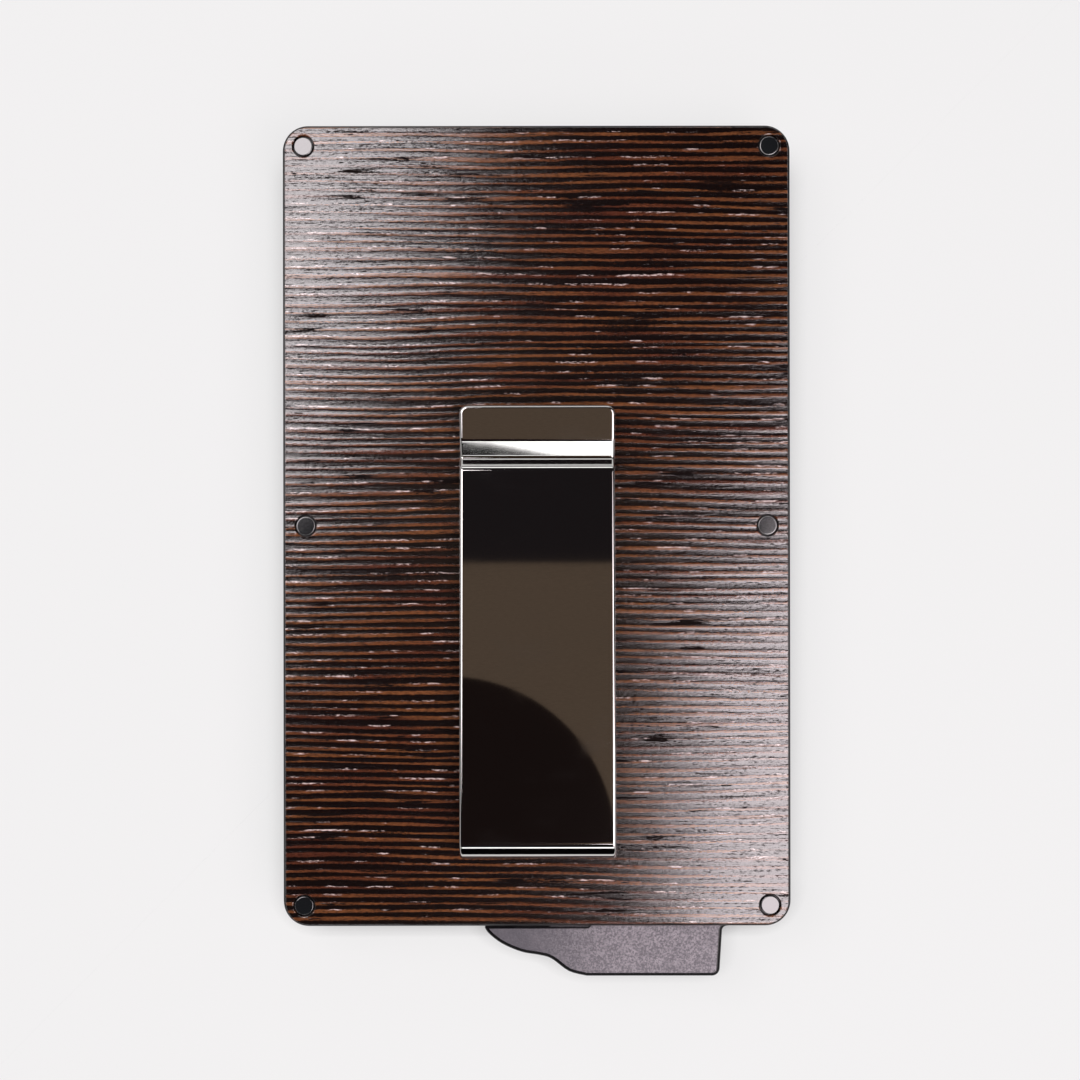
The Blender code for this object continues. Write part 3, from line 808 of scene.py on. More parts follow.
@dataclass(frozen=True)
class Frosted(Finish):
    """Bead-blasted face of the lever: a fine sparkle of pits over a slow cloudiness, with shade painted
    darker towards the nose.
    """

    slot: str = "frosted_gunmetal"
    title: str = "Frosted gunmetal"
    colour: Colour = (0.25, 0.228, 0.25)
    pit_colour: Colour = (0.1, 0.092, 0.105)
    # Colour and span of the painted shade, darker towards the nose at low X.
    painted_shade_colour: Colour = (0.06, 0.056, 0.068)
    painted_shade_span: Point2 = (-3.0, 12.0)
    painted_shade_wander: float = 6.0
    painted_shade_share: float = 0.9
    pits: Grain = Grain((4.2, 4.2, 4.2), 3.0, 0.75)
    cloud: Grain = Grain((0.3, 0.3, 0.3), 3.0, 0.6)

    def write(self, sheet: Sheet) -> None:
        """Write the finish on a sheet.

        Args:
            sheet: the sheet to write on.
        """
        place = sheet.place()
        pits = sheet.noise(place, self.pits)
        cloud = sheet.noise(place, self.cloud)
        # Painted shade: the face is darkened towards the nose, at low X, with a border that wanders with the
        # cloudiness.
        across = sheet.parts(place)[0] + (cloud - 0.5) * self.painted_shade_wander
        base = sheet.blend(sheet.step(pits, 0.58, 0.4), self.pit_colour, self.colour)
        painted_nose_shade = self.painted_shade_share - sheet.step(across, *self.painted_shade_span) * self.painted_shade_share
        base = sheet.blend(painted_nose_shade, base, self.painted_shade_colour)
        base = sheet.blend(sheet.step(cloud, 0.4, 0.75) * 0.4, base, self.pit_colour)
        sheet.surface({
            "Base Color": base,
            "Roughness": 0.5 + (pits - 0.5) * 0.25,
            "Metallic": 0.25,
            "Normal": sheet.bump(pits * 0.06),
        })


@dataclass(frozen=True)
class Polished(Finish):
    """A polished metal, with faint handling marks, or drawn lines where it has a grain."""

    colour: Colour = (0.6, 0.6, 0.6)
    rough: float = 0.05
    haze: float = 0.05
    lines: Corner = (3.0, 3.0, 3.0)
    depth: float = 0.0
    smear: Grain = Grain((0.11, 0.16, 0.3), 3.0, 0.6)

    def write(self, sheet: Sheet) -> None:
        """Write the finish on a sheet.

        Args:
            sheet: the sheet to write on.
        """
        place = sheet.place()
        smear = sheet.noise(place, self.smear)
        marks = sheet.noise(place, Grain(self.lines, 3.0, 0.6))
        rub = sheet.step(smear, 0.5, 0.8)
        tint = tuple(part * 0.86 for part in self.colour)
        sheet.surface({
            "Base Color": sheet.blend(sheet.step(marks, 0.35, 0.7) * 0.5 + rub * 0.3, self.colour, tint),
            "Metallic": 1.0,
            "Roughness": self.rough + rub * self.haze + (marks - 0.5) * self.rough * 0.5,
            "Normal": sheet.bump(marks * self.depth + smear * 0.0006),
        })


WENGE = Wenge()
BLACK_ANODISED = Coated(
    "black_anodised", "Black anodised",
    colour=(0.008, 0.008, 0.009), rubbed=(0.03, 0.029, 0.028), rough=0.34, grain=9.0, depth=0.003, ior=1.36,
)
BLACK_NYLON = Coated(
    "black_nylon", "Black glass-filled nylon",
    colour=(0.018, 0.018, 0.02), rubbed=(0.032, 0.032, 0.034), rough=0.56, grain=5.0, depth=0.01,
)
POST_BLACK = Coated(
    "black_polished_steel", "Polished black steel",
    colour=(0.006, 0.007, 0.008), rubbed=(0.3, 0.3, 0.3), rough=0.1, grain=6.0, depth=0.0005, ior=2.0,
)
LEVER_BLACK = Coated(
    "frosted_gunmetal", "Glossy black edge",
    colour=(0.004, 0.004, 0.0045), rubbed=(0.006, 0.006, 0.007), rough=0.16, grain=5.0, depth=0.001, ior=1.32,
)
GUNMETAL = Frosted()
NATURAL_NYLON = Coated(
    "natural_nylon", "Natural nylon",
    colour=(0.66, 0.63, 0.56), rubbed=(0.74, 0.72, 0.66), rough=0.45,
)
CHROME = Polished(
    "bright_chrome", "Bright chrome",
    colour=(0.66, 0.645, 0.63), rough=0.035, haze=0.04, lines=(1.5, 9.0, 1.5),
)
SPRING_STEEL = Polished(
    "spring_steel", "Spring steel",
    colour=(0.5, 0.5, 0.49), rough=0.24, haze=0.1, lines=(12.0, 0.5, 12.0), depth=0.002,
)
BRONZE = Polished(
    "bronze", "Turned bronze",
    colour=(0.5, 0.31, 0.14), rough=0.22, haze=0.1, lines=(1.0, 1.0, 14.0), depth=0.002,
)


# Sub-assemblies


def report(piece: Piece, body: str, *nodes: str) -> None:
    """Put a finished piece on its body and say so.

    Args:
        piece: the piece.
        body: the body that it moves with.
        *nodes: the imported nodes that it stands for.
    """
    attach(piece, body)
    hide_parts(*nodes)
    LOG.info("%s: %d faces, on %s, for %s", piece.name, len(piece.data.polygons), body, ", ".join(nodes))


@dataclass
class Cover:
    """One cover of the wallet: a stiff black carrier and the wenge veneer on its outer face."""

    side: Side
    posts: Sequence[Point2]
    rivets: Sequence[Point2]
    carrier_corner: float = 3.2 * MM
    carrier_edge: float = 0.28 * MM
    rivet_sink: float = 1.45 * MM
    sink_depth: float = 0.6 * MM
    head_hole: float = 1.35 * MM
    veneer_corner: float = 2.85 * MM
    veneer_edge: float = 0.16 * MM
    level_cosine: float = 0.983
    strips: int = 640
    columns: int = 44
    corner_steps: int = 14
    carrier_steps: int = 4
    veneer_steps: int = 3
    mouth_steps: int = 4

    def plate(self, name: str, node: str, corner: float) -> Piece:
        """A plain plate in a packed plate's place.

        Args:
            name: the piece's name.
            node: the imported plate.
            corner: the radius of its corners.

        Returns:
            The plate, in edit mode, with rounded corners.
        """
        low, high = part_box(node)
        Bench.rest()
        bpy.ops.mesh.primitive_cube_add(size=1.0, location=(low + high) / 2, scale=high - low)
        piece = Bench.settle(name)
        Bench.hold(piece, edit=True)
        Bench.pick(Kind.EDGE, Bench.upright)
        Bench.round_picked(corner, self.corner_steps)
        return piece

    def carrier(self) -> Piece:
        """The black carrier, with its rim rounded over and its holes drilled."""
        node = self.side.value + "_carrier"
        low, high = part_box(node)
        piece = self.plate(self.side.value + "_plate", node, self.carrier_corner)
        Bench.pick(Kind.EDGE, Bench.level)
        Bench.round_picked(self.carrier_edge, self.carrier_steps)
        Bench.rest()
        sink = [
            (0.0, high.z + PAST),
            (DRILL, high.z + PAST),
            (DRILL, low.z + self.sink_depth),
            (self.rivet_sink, low.z),
            (self.rivet_sink, low.z - PAST),
            (0.0, low.z - PAST),
        ]
        tools = [Bench.rod("tool", centre, DRILL, low.z - PAST, high.z + PAST) for centre in self.posts]
        tools += [Bench.turned("tool", sink, centre, steps=32) for centre in self.rivets]
        Bench.carve(piece, tools)
        Bench.polish(piece)
        BLACK_ANODISED.dress(piece)
        return piece

    def head_tool(self, centre: Point2, radius: float) -> Piece:
        """The tool that cuts one hole in the veneer and eases its mouth.

        Args:
            centre: where the hole is.
            radius: its radius.

        Returns:
            The tool.
        """
        outer, inner = self.faces()
        ease = self.veneer_edge
        way = 1 if outer > inner else -1
        mouth = [
            (radius + ease - x, outer + way * (z - ease))
            for x, z in Outline.arc((0.0, 0.0), ease, 90, 0, self.mouth_steps)
        ]
        beyond = outer + way * PAST
        profile = [(0.0, beyond), (radius + ease, beyond), *mouth, (radius, inner), (0.0, inner)]
        return Bench.turned("tool", profile, centre)

    def faces(self) -> Point2:
        """The height of the veneer's outer face, and one well past its inner face."""
        low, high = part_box(self.side.value + "_veneer")
        return (high.z, low.z - PAST) if self.side is Side.REAR else (low.z, high.z + PAST)

    def stamp(self) -> Piece:
        """The shape that the veneer is stamped to: its outline and holes, with all its rims eased."""
        outer = self.faces()[0]
        stamp = self.plate("stamp", self.side.value + "_veneer", self.veneer_corner)
        Bench.pick(Kind.EDGE, lambda edge: all(abs(vert.co.z - outer) < TINY for vert in edge.verts))
        Bench.round_picked(self.veneer_edge, self.veneer_steps)
        Bench.rest()
        tools = [self.head_tool(centre, self.head_hole) for centre in self.posts]
        if self.side is Side.REAR:
            tools += [self.head_tool(centre, DRILL) for centre in self.rivets]
        Bench.carve(stamp, tools)
        return stamp

    def on_rim(self, edge: Any) -> bool:
        """Whether an edge parts the veneer's level face from an eased rim."""
        levels = [abs(face.normal.z) for face in edge.link_faces]
        return max(levels) > self.level_cosine > min(levels)

    def veneer(self) -> Piece:
        """The wenge veneer, with the lines of the wood raised on its outer face."""
        node = self.side.value + "_veneer"
        low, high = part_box(node)
        outer, inner = self.faces()
        size = high - low + Vector((PAST, PAST, 0.0))
        Bench.rest()
        bpy.ops.mesh.primitive_grid_add(
            x_subdivisions=self.columns, y_subdivisions=self.strips, size=1.0, location=(*middle(node), outer)
        )
        bpy.context.object.scale = (size.x, size.y, 1.0)
        sheet = Bench.settle(self.side.value + "_wenge")
        WENGE.emboss(sheet)
        Bench.hold(sheet, edit=True)
        bpy.ops.mesh.select_all(action="SELECT")
        if self.side is Side.FRONT:
            bpy.ops.transform.resize(value=(1.0, 1.0, -1.0), center_override=(0.0, 0.0, outer))
        bpy.ops.mesh.extrude_region_move(TRANSFORM_OT_translate={"value": UP * (inner - outer)})
        Bench.outward()
        Bench.rest()
        Bench.carve(sheet, [self.stamp()], "INTERSECT")
        Bench.hold(sheet, edit=True)
        Bench.pick(Kind.EDGE, self.on_rim)
        bpy.ops.mesh.mark_sharp()
        Bench.polish(sheet)
        WENGE.dress(sheet)
        return sheet

    def build(self) -> None:
        """Build and dress the cover."""
        report(self.carrier(), "case", self.side.value + "_carrier")
        report(self.veneer(), "case", self.side.value + "_veneer")


@dataclass
class Posts:
    """The six posts: each a flat-headed barrel in the rear cover and a screw in the front cover."""

    names: Sequence[str] = ("top_left", "top_right", "middle_left", "middle_right", "bottom_left", "pivot")
    head_round: float = 0.12 * MM
    head_height: float = 0.5 * MM
    head_radius: float = 1.175 * MM
    flat_radius: float = 1.02 * MM
    barrel_radius: float = 0.8 * MM
    bore_radius: float = 0.5 * MM
    bore_length: float = 5.6 * MM
    thread_radius: float = 0.45 * MM
    thread_pitch: float = 0.4 * MM
    thread_depth: float = 0.06 * MM
    socket_flats: float = 1.2 * MM
    socket_depth: float = 0.3 * MM

    def centres(self) -> list[Point2]:
        """Where all the posts stand."""
        return [middle(name + "_barrel") for name in self.names]

    def barrel(self, name: str) -> Piece:
        """A post's barrel, with its flat head eased at the rim.

        Args:
            name: the post's name.

        Returns:
            The barrel.
        """
        low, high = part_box(name + "_barrel")
        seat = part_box("rear_carrier")[1].z + GAP
        corners = [
            (0.0, high.z, 0.0),
            (self.flat_radius, high.z, 0.0),
            (self.head_radius, high.z, self.head_round),
            (self.head_radius, seat, 0.0),
            (self.barrel_radius, seat, 0.0),
            (self.barrel_radius, low.z, self.head_round / 2),
            (self.bore_radius, low.z, 0.0),
            (self.bore_radius, low.z + self.bore_length, 0.0),
            (0.0, low.z + self.bore_length, 0.0),
        ]
        profile = Outline.rounded(corners, closed=False, steps=5)
        return Bench.turned(name + "_barrel_turned", profile, middle(name + "_barrel"))

    def screw(self, name: str) -> Piece:
        """A post's screw, with thread rings, an eased head and a hexagon socket.

        Args:
            name: the post's name.

        Returns:
            The screw.
        """
        low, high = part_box(name + "_screw")
        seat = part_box("front_carrier")[0].z - GAP
        core = self.thread_radius - self.thread_depth
        profile = [(0.0, high.z), (core, high.z)]
        height = high.z - self.thread_pitch / 2
        while height > seat + self.thread_pitch:
            profile.append((self.thread_radius, height))
            profile.append((core, height - self.thread_pitch / 2))
            height -= self.thread_pitch
        head = [
            (core, seat, 0.0),
            (self.head_radius, seat, 0.0),
            (self.head_radius, low.z, self.head_round),
            (self.flat_radius, low.z, 0.0),
            (0.0, low.z, 0.0),
        ]
        profile += Outline.rounded(head, closed=False, steps=5)
        centre = middle(name + "_barrel")
        piece = Bench.turned(name + "_screw_turned", profile, centre, steps=48)
        corner = self.socket_flats / math.sqrt(3)
        tool = Bench.rod("tool", centre, corner, low.z - PAST, low.z + self.socket_depth, sides=6)
        Bench.carve(piece, [tool])
        return piece

    def build(self) -> None:
        """Build and dress all six posts."""
        for name in self.names:
            for piece, part in ((self.barrel(name), "_barrel"), (self.screw(name), "_screw")):
                Bench.polish(piece)
                POST_BLACK.dress(piece)
                report(piece, "case", name + part)


HEEL: tuple[Point2, Point2] = ((-8.5, -46.2), (-22.7, -42.5))


@dataclass
class Rails:
    """The two side rails between the covers, which the lever's heel rests on and is stopped by."""

    posts: Sequence[Point2]
    edge: float = 0.22 * MM
    foot_gap: float = 0.15

    def left_outline(self) -> list[Point2]:
        """The left rail, whose foot turns the corner and rests under the lever's arm."""
        corners = [
            (-27.35, -38.55, 0.2),
            (-27.35, 49.1, 0.0),
            (-28.35, 50.1, 0.0),
            (-31.6, 50.1, 2.8),
            (-31.6, -50.1, 2.8),
            (-9.5, -50.1, 0.6),
            (-9.5, self.foot_top(-9.5), 0.6),
            (-23.4, self.foot_top(-23.4), 0.3),
            (-23.4, -38.55, 0.6),
        ]
        return Outline.rounded(in_metres(corners))

    def foot_top(self, x: float) -> float:
        """How far along the wallet the foot's upper side is at x, in millimetres."""
        (start_x, start_y), (end_x, end_y) = HEEL
        return start_y + (x - start_x) * (end_y - start_y) / (end_x - start_x) - self.foot_gap

    @staticmethod
    def right_outline() -> list[Point2]:
        """The right rail, whose slanted end stops the lever."""
        corners = [
            (27.35, 49.1, 0.0),
            (27.35, -39.3, 0.6),
            (31.6, -45.2, 0.6),
            (31.6, 50.1, 2.8),
            (28.35, 50.1, 0.0),
        ]
        return Outline.rounded(in_metres(corners))

    def rail(self, name: str, node: str, outline: Sequence[Point2]) -> Piece:
        """One rail, drilled for its posts and eased all over.

        Args:
            name: the piece's name.
            node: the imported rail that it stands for.
            outline: its outline, as seen along Z.

        Returns:
            The rail.
        """
        low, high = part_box(node)
        piece = Bench.prism(name, outline, low.z, high.z)
        Bench.apply(
            piece, "BEVEL", width=self.edge, segments=3, limit_method="ANGLE",
            angle_limit=math.radians(50), use_clamp_overlap=True,
        )
        tools = [
            Bench.rod("tool", (x, y), DRILL, low.z - PAST, high.z + PAST)
            for x, y in self.posts
            if low.x < x < high.x and low.y < y < high.y
        ]
        Bench.carve(piece, tools)
        Bench.polish(piece)
        BLACK_NYLON.dress(piece)
        return piece

    def build(self) -> None:
        """Build and dress both rails."""
        for node, outline in (("left_rail", self.left_outline()), ("right_rail", self.right_outline())):
            report(self.rail(node + "_moulded", node, outline), "case", node)


@dataclass
class FanLever:
    """The fanning lever: a frosted thumb pad with glossy edges, and seven stepped arms."""

    pivot: Point2
    steps: int = 7
    short_end: float = 6.9
    long_end: float = HEEL[1][0]
    arm_top: float = -38.5
    plate_edge: float = -50.5
    pocket_foot: float = -51.13
    pocket_corner: float = 0.6
    pocket_past: float = 2.0
    boss: float = 2.45
    bore: float = 1.5
    edge: float = 0.5 * MM
    frosted_cosine: float = 0.999
    tail: Sequence[Corner] = ((23.15, -6.75, 1.0), (23.55, -0.5, 0.6), (25.2, -0.2, 0.0))
    nose: Sequence[Point2] = (
        (-6.9, 0.0), (-6.3, -1.2), (-4.5, -2.62), (-2.0, -3.68),
        (0.25, -4.08), (1.8, -4.55), (4.0, -6.14), (6.3, -6.74),
    )

    def outline(self) -> list[Point2]:
        """The lever's outline, as seen from the rear."""
        edge = self.plate_edge
        nose = Outline.smooth([(x, edge + y) for x, y in self.nose], 4)
        corners = [(x, y, 0.0) for x, y in nose]
        corners += [(x, edge + y, radius) for x, y, radius in self.tail]
        pivot = (self.pivot[0] / MM, self.pivot[1] / MM)
        corners += [(x, y, 0.0) for x, y in Outline.arc(pivot, self.boss, -100, 50, 20)]
        corners += [
            (22.0, self.arm_top, 2.0),
            (self.long_end, self.arm_top, 0.8),
            (*HEEL[1], 1.0),
            (*HEEL[0], 1.0),
            (-6.2, -48.8, 1.0),
        ]
        return in_metres(Outline.rounded(corners, steps=7))

    def pockets(self, low: float, high: float) -> list[Piece]:
        """The tools that cut each arm shorter than the one in front of it.

        Args:
            low: the height of the lever's underside.
            high: the height of its top.

        Returns:
            The tools, from the shortest arm to the longest but one.
        """
        layer = (high - low) / self.steps
        reach = (self.short_end - self.long_end) / (self.steps - 1)
        left, top = self.long_end - self.pocket_past, self.arm_top + self.pocket_past
        tools = []
        for step in range(self.steps - 1):
            end = self.short_end - reach * step
            corners = [
                (end, top, 0.0),
                (left, top, 0.0),
                (left, self.pocket_foot, 0.0),
                (end, self.pocket_foot, self.pocket_corner),
            ]
            outline = in_metres(Outline.rounded(corners, steps=6))
            tools.append(Bench.prism("tool", outline, high - layer * (step + 1), high + PAST))
        return tools

    def lever(self) -> Piece:
        """The lever in one piece."""
        low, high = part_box("fan_lever")
        piece = Bench.prism("fan_lever_moulded", self.outline(), low.z, high.z)
        Bench.hold(piece, edit=True)
        Bench.pick(Kind.EDGE, Bench.level)
        Bench.round_picked(self.edge, 6)
        Bench.rest()
        for tool in self.pockets(low.z, high.z):
            Bench.carve(piece, [tool])
        bore = Bench.rod("tool", self.pivot, self.bore * MM, low.z - PAST, high.z + PAST, sides=64)
        Bench.carve(piece, [bore])
        return piece

    def dress(self, piece: Piece) -> None:
        """Frost the level faces and leave the rounded edges glossy.

        Args:
            piece: the lever.
        """
        GUNMETAL.dress(piece)
        piece.data.materials.append(LEVER_BLACK.material())
        for face in piece.data.polygons:
            face.material_index = 0 if abs(face.normal.z) > self.frosted_cosine else 1

    def build(self) -> None:
        """Build and dress the lever."""
        piece = self.lever()
        Bench.polish(piece)
        self.dress(piece)
        report(piece, "lever", "fan_lever")


@dataclass
class PivotFittings:
    """The bush that the lever turns on, and the two washers that hold it by friction."""

    centre: Point2
    rounding: float = 0.06 * MM

    def ring(self, name: str, node: str) -> Piece:
        """A ring in a packed ring's place.

        Args:
            name: the piece's name.
            node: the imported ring.

        Returns:
            The ring, with its rims eased.
        """
        low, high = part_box(node)
        outer = (high.x - low.x) / 2
        places = [(DRILL, low.z), (outer, low.z), (outer, high.z), (DRILL, high.z)]
        corners = [(radius, height, self.rounding) for radius, height in places]
        profile = Outline.rounded(corners, steps=3)
        piece = Bench.turned(name, profile + profile[:1], self.centre)
        Bench.polish(piece)
        return piece

    def build(self) -> None:
        """Build and dress the bush and the washers."""
        bush = self.ring("pivot_bush_turned", "pivot_bush")
        BRONZE.dress(bush)
        report(bush, "case", "pivot_bush")
        for side in Side:
            node = side.value + "_washer"
            washer = self.ring(node + "_cut", node)
            NATURAL_NYLON.dress(washer)
            report(washer, "case", node)


@dataclass(frozen=True)
class Strip:
    """A strip of sheet metal, bent along a path that is seen from the side."""

    width: float
    thickness: float
    middle_x: float
    edge: float
    corner: float

    def form(self, name: str, path: Sequence[Point2], round_ends: Sequence[Point2]) -> Piece:
        """Bend the strip.

        Args:
            name: the piece's name.
            path: the strip's middle line, as Y and Z.
            round_ends: the ends of the path at which the strip's corners are rounded.

        Returns:
            The strip, with rounded edges.
        """
        left = self.middle_x - self.width / 2
        piece = Bench.chain(name, [(left, y, z) for y, z in path])
        bpy.ops.mesh.extrude_region_move(TRANSFORM_OT_translate={"value": (self.width, 0.0, 0.0)})
        Bench.pick(Kind.VERT, lambda vert: min(math.dist(vert.co.yz, end) for end in round_ends) < TINY)
        bpy.ops.mesh.bevel(
            offset=self.corner, offset_type="OFFSET", segments=8, affect="VERTICES", clamp_overlap=False
        )
        Bench.outward()
        Bench.rest()
        Bench.apply(
            piece, "SOLIDIFY", thickness=self.thickness, offset=0.0, use_even_offset=True,
            use_quality_normals=True,
        )
        Bench.hold(piece, edit=True)
        Bench.outward()
        Bench.rest()
        Bench.apply(
            piece, "BEVEL", width=self.edge, segments=5, limit_method="ANGLE",
            angle_limit=math.radians(60), use_clamp_overlap=False,
        )
        return piece


@dataclass
class MoneyClip:
    """The sprung money clip: a base on the rear cover, a bend, and a leaf with a valley and a lip."""

    rivets: Sequence[Point2]
    strip: Strip = Strip(width=19.3 * MM, thickness=0.8 * MM, middle_x=0.1 * MM, edge=0.36 * MM, corner=MM)
    base_end: float = 13.4
    bend_y: float = -38.9
    bend_radius: float = 2.0
    lie: float = 0.45
    valley: Sequence[Corner] = ((7.0, 2.3, 0.9), (8.4, 1.1, 0.9), (10.7, 2.3, 0.9))
    lip: Point2 = (14.9, 2.75)
    flex: Point2 = (0.22 * MM, 0.2 * MM)

    def slope(self) -> float:
        """The angle by which the leaf falls from the bend to the valley, in degrees."""
        fall = self.lie + 2 * self.bend_radius - self.valley[0][1]
        return math.degrees(math.atan2(fall, self.valley[0][0] - self.bend_y))

    def bend(self, start: float, end: float, steps: int) -> list[Point2]:
        """Part of the bend's middle line, between two angles, as Y and height over the veneer."""
        centre = (self.bend_y, self.lie + self.bend_radius)
        return Outline.arc(centre, self.bend_radius, start, end, steps)

    def placed(self, path: Sequence[Point2]) -> list[Point2]:
        """A path in millimetres over the veneer, put in its place on the wallet."""
        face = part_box("rear_veneer")[1].z
        return [(y * MM, face + height * MM) for y, height in path]

    def base(self) -> Piece:
        """The base and the lower half of the bend, which stay with the case."""
        path = self.placed([(self.base_end, self.lie), (0.0, self.lie)] + self.bend(270, 180, 24))
        piece = self.strip.form("clip_base_bent", path, [path[0]])
        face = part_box("rear_veneer")[1].z
        top = face + self.lie * MM + self.strip.thickness
        Bench.carve(piece, [Bench.rod("tool", centre, DRILL, face - PAST, top) for centre in self.rivets])
        return piece

    def leaf(self) -> Piece:
        """The upper half of the bend and the sprung leaf."""
        bend = self.bend(180, 90 - self.slope(), 26)
        start: Corner = (bend[-1][0], bend[-1][1], 0.0)
        end: Corner = (self.lip[0], self.lip[1], 0.0)
        run = Outline.rounded([start, *self.valley, end], closed=False, steps=12)
        path = self.placed(bend + run[1:])
        return self.strip.form("clip_leaf_bent", path, [path[-1]])

    def build(self) -> None:
        """Build and dress the clip."""
        base = self.base()
        leaf = self.leaf()
        for piece in (base, leaf):
            Bench.polish(piece, 50)
            CHROME.dress(piece)
        report(base, "case", "clip_base")
        (start_y, start_z), (_, top_z) = self.placed(self.bend(180, 90, 1))
        end = (0.0, start_y + self.flex[0], top_z + self.flex[1])
        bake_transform(leaf)
        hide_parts("clip_leaf")
        LOG.info("%s: %d faces, between case and clip_leaf", leaf.name, len(leaf.data.polygons))


@dataclass
class CardSpring:
    """The leaf spring inside the front cover, which presses the cards together."""

    rivets: Sequence[Point2]
    strip: Strip = Strip(width=8 * MM, thickness=0.3 * MM, middle_x=0.0, edge=0.1 * MM, corner=1.2 * MM)
    root_end: float = 40.0
    hinge: float = 29.0
    hinge_round: float = 12.0
    crest: Point2 = (-5.0, 1.6)
    crest_round: float = 4.0
    toe: Point2 = (-9.0, 0.9)
    flex: float = 1.6

    def build(self) -> None:
        """Build and dress the spring."""
        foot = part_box("spring_root")
        level = (foot[0].z + foot[1].z) / 2 / MM
        corners = [
            (self.root_end, level, 0.0),
            (self.hinge, level, self.hinge_round),
            (self.crest[0], level + self.crest[1], self.crest_round),
            (self.toe[0], level + self.toe[1], 0.0),
        ]
        path = in_metres(Outline.rounded(corners, closed=False, steps=10))
        piece = self.strip.form("card_spring_bent", path, [path[0], path[-1]])
        low, high = foot[0].z - PAST, foot[1].z + PAST
        Bench.carve(piece, [Bench.rod("tool", centre, DRILL, low, high, sides=32) for centre in self.rivets])
        Bench.polish(piece, 50)
        SPRING_STEEL.dress(piece)
        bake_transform(piece)
        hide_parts("spring_root", "spring_leaf")
        LOG.info("%s: %d faces, between case and card_spring", piece.name, len(piece.data.polygons))


@dataclass
class Rivets:
    """The rivets of the clip and of the card spring: a low round head and a countersunk tail."""

    shank: float = 0.8 * MM
    head: float = 1.6 * MM
    head_height: float = 0.35 * MM
    sink: float = 1.4 * MM
    sink_depth: float = 0.55 * MM
    dome: Sequence[Point2] = ((0.0, 0.0), (0.55, 0.16), (0.88, 0.5), (1.0, 0.88))

    def rivet(self, node: str) -> Piece:
        """A rivet in a packed rivet's place.

        Args:
            node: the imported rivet.

        Returns:
            The rivet.
        """
        low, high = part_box(node)
        under = high.z - self.head_height
        marks = [(self.head * out, high.z - self.head_height * down) for out, down in self.dome]
        rest = [
            (self.head, under),
            (self.shank, under),
            (self.shank, low.z + self.sink_depth),
            (self.sink, low.z),
            (0.0, low.z),
        ]
        return Bench.turned(node + "_set", Outline.smooth(marks, 5) + rest, middle(node), steps=40)

    def build(self) -> None:
        """Build and dress all the rivets."""
        for node in sorted(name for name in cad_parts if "_rivet_" in name):
            piece = self.rivet(node)
            Bench.polish(piece, 50)
            SPRING_STEEL.dress(piece)
            report(piece, "case", node)


# The studio


@dataclass(frozen=True)
class Lamp:
    """One soft light."""

    name: str
    place: Vector
    size: Point2
    power: float
    colour: Colour = (1.0, 1.0, 1.0)
    aim: Vector = Vector((0.0, 0.0, 0.0104))

    def light(self) -> None:
        """Hang the light, aimed at the wallet."""
        data = bpy.data.lights.new(self.name, "AREA")
        data.shape = "RECTANGLE"
        data.size, data.size_y = self.size
        data.energy = self.power
        data.color = self.colour
        lamp = bpy.data.objects.new(self.name, data)
        lamp.location = self.place
        lamp.rotation_euler = (self.aim - self.place).to_track_quat("-Z", "Y").to_euler()
        lamp.visible_camera = False
        bpy.context.scene.collection.objects.link(lamp)


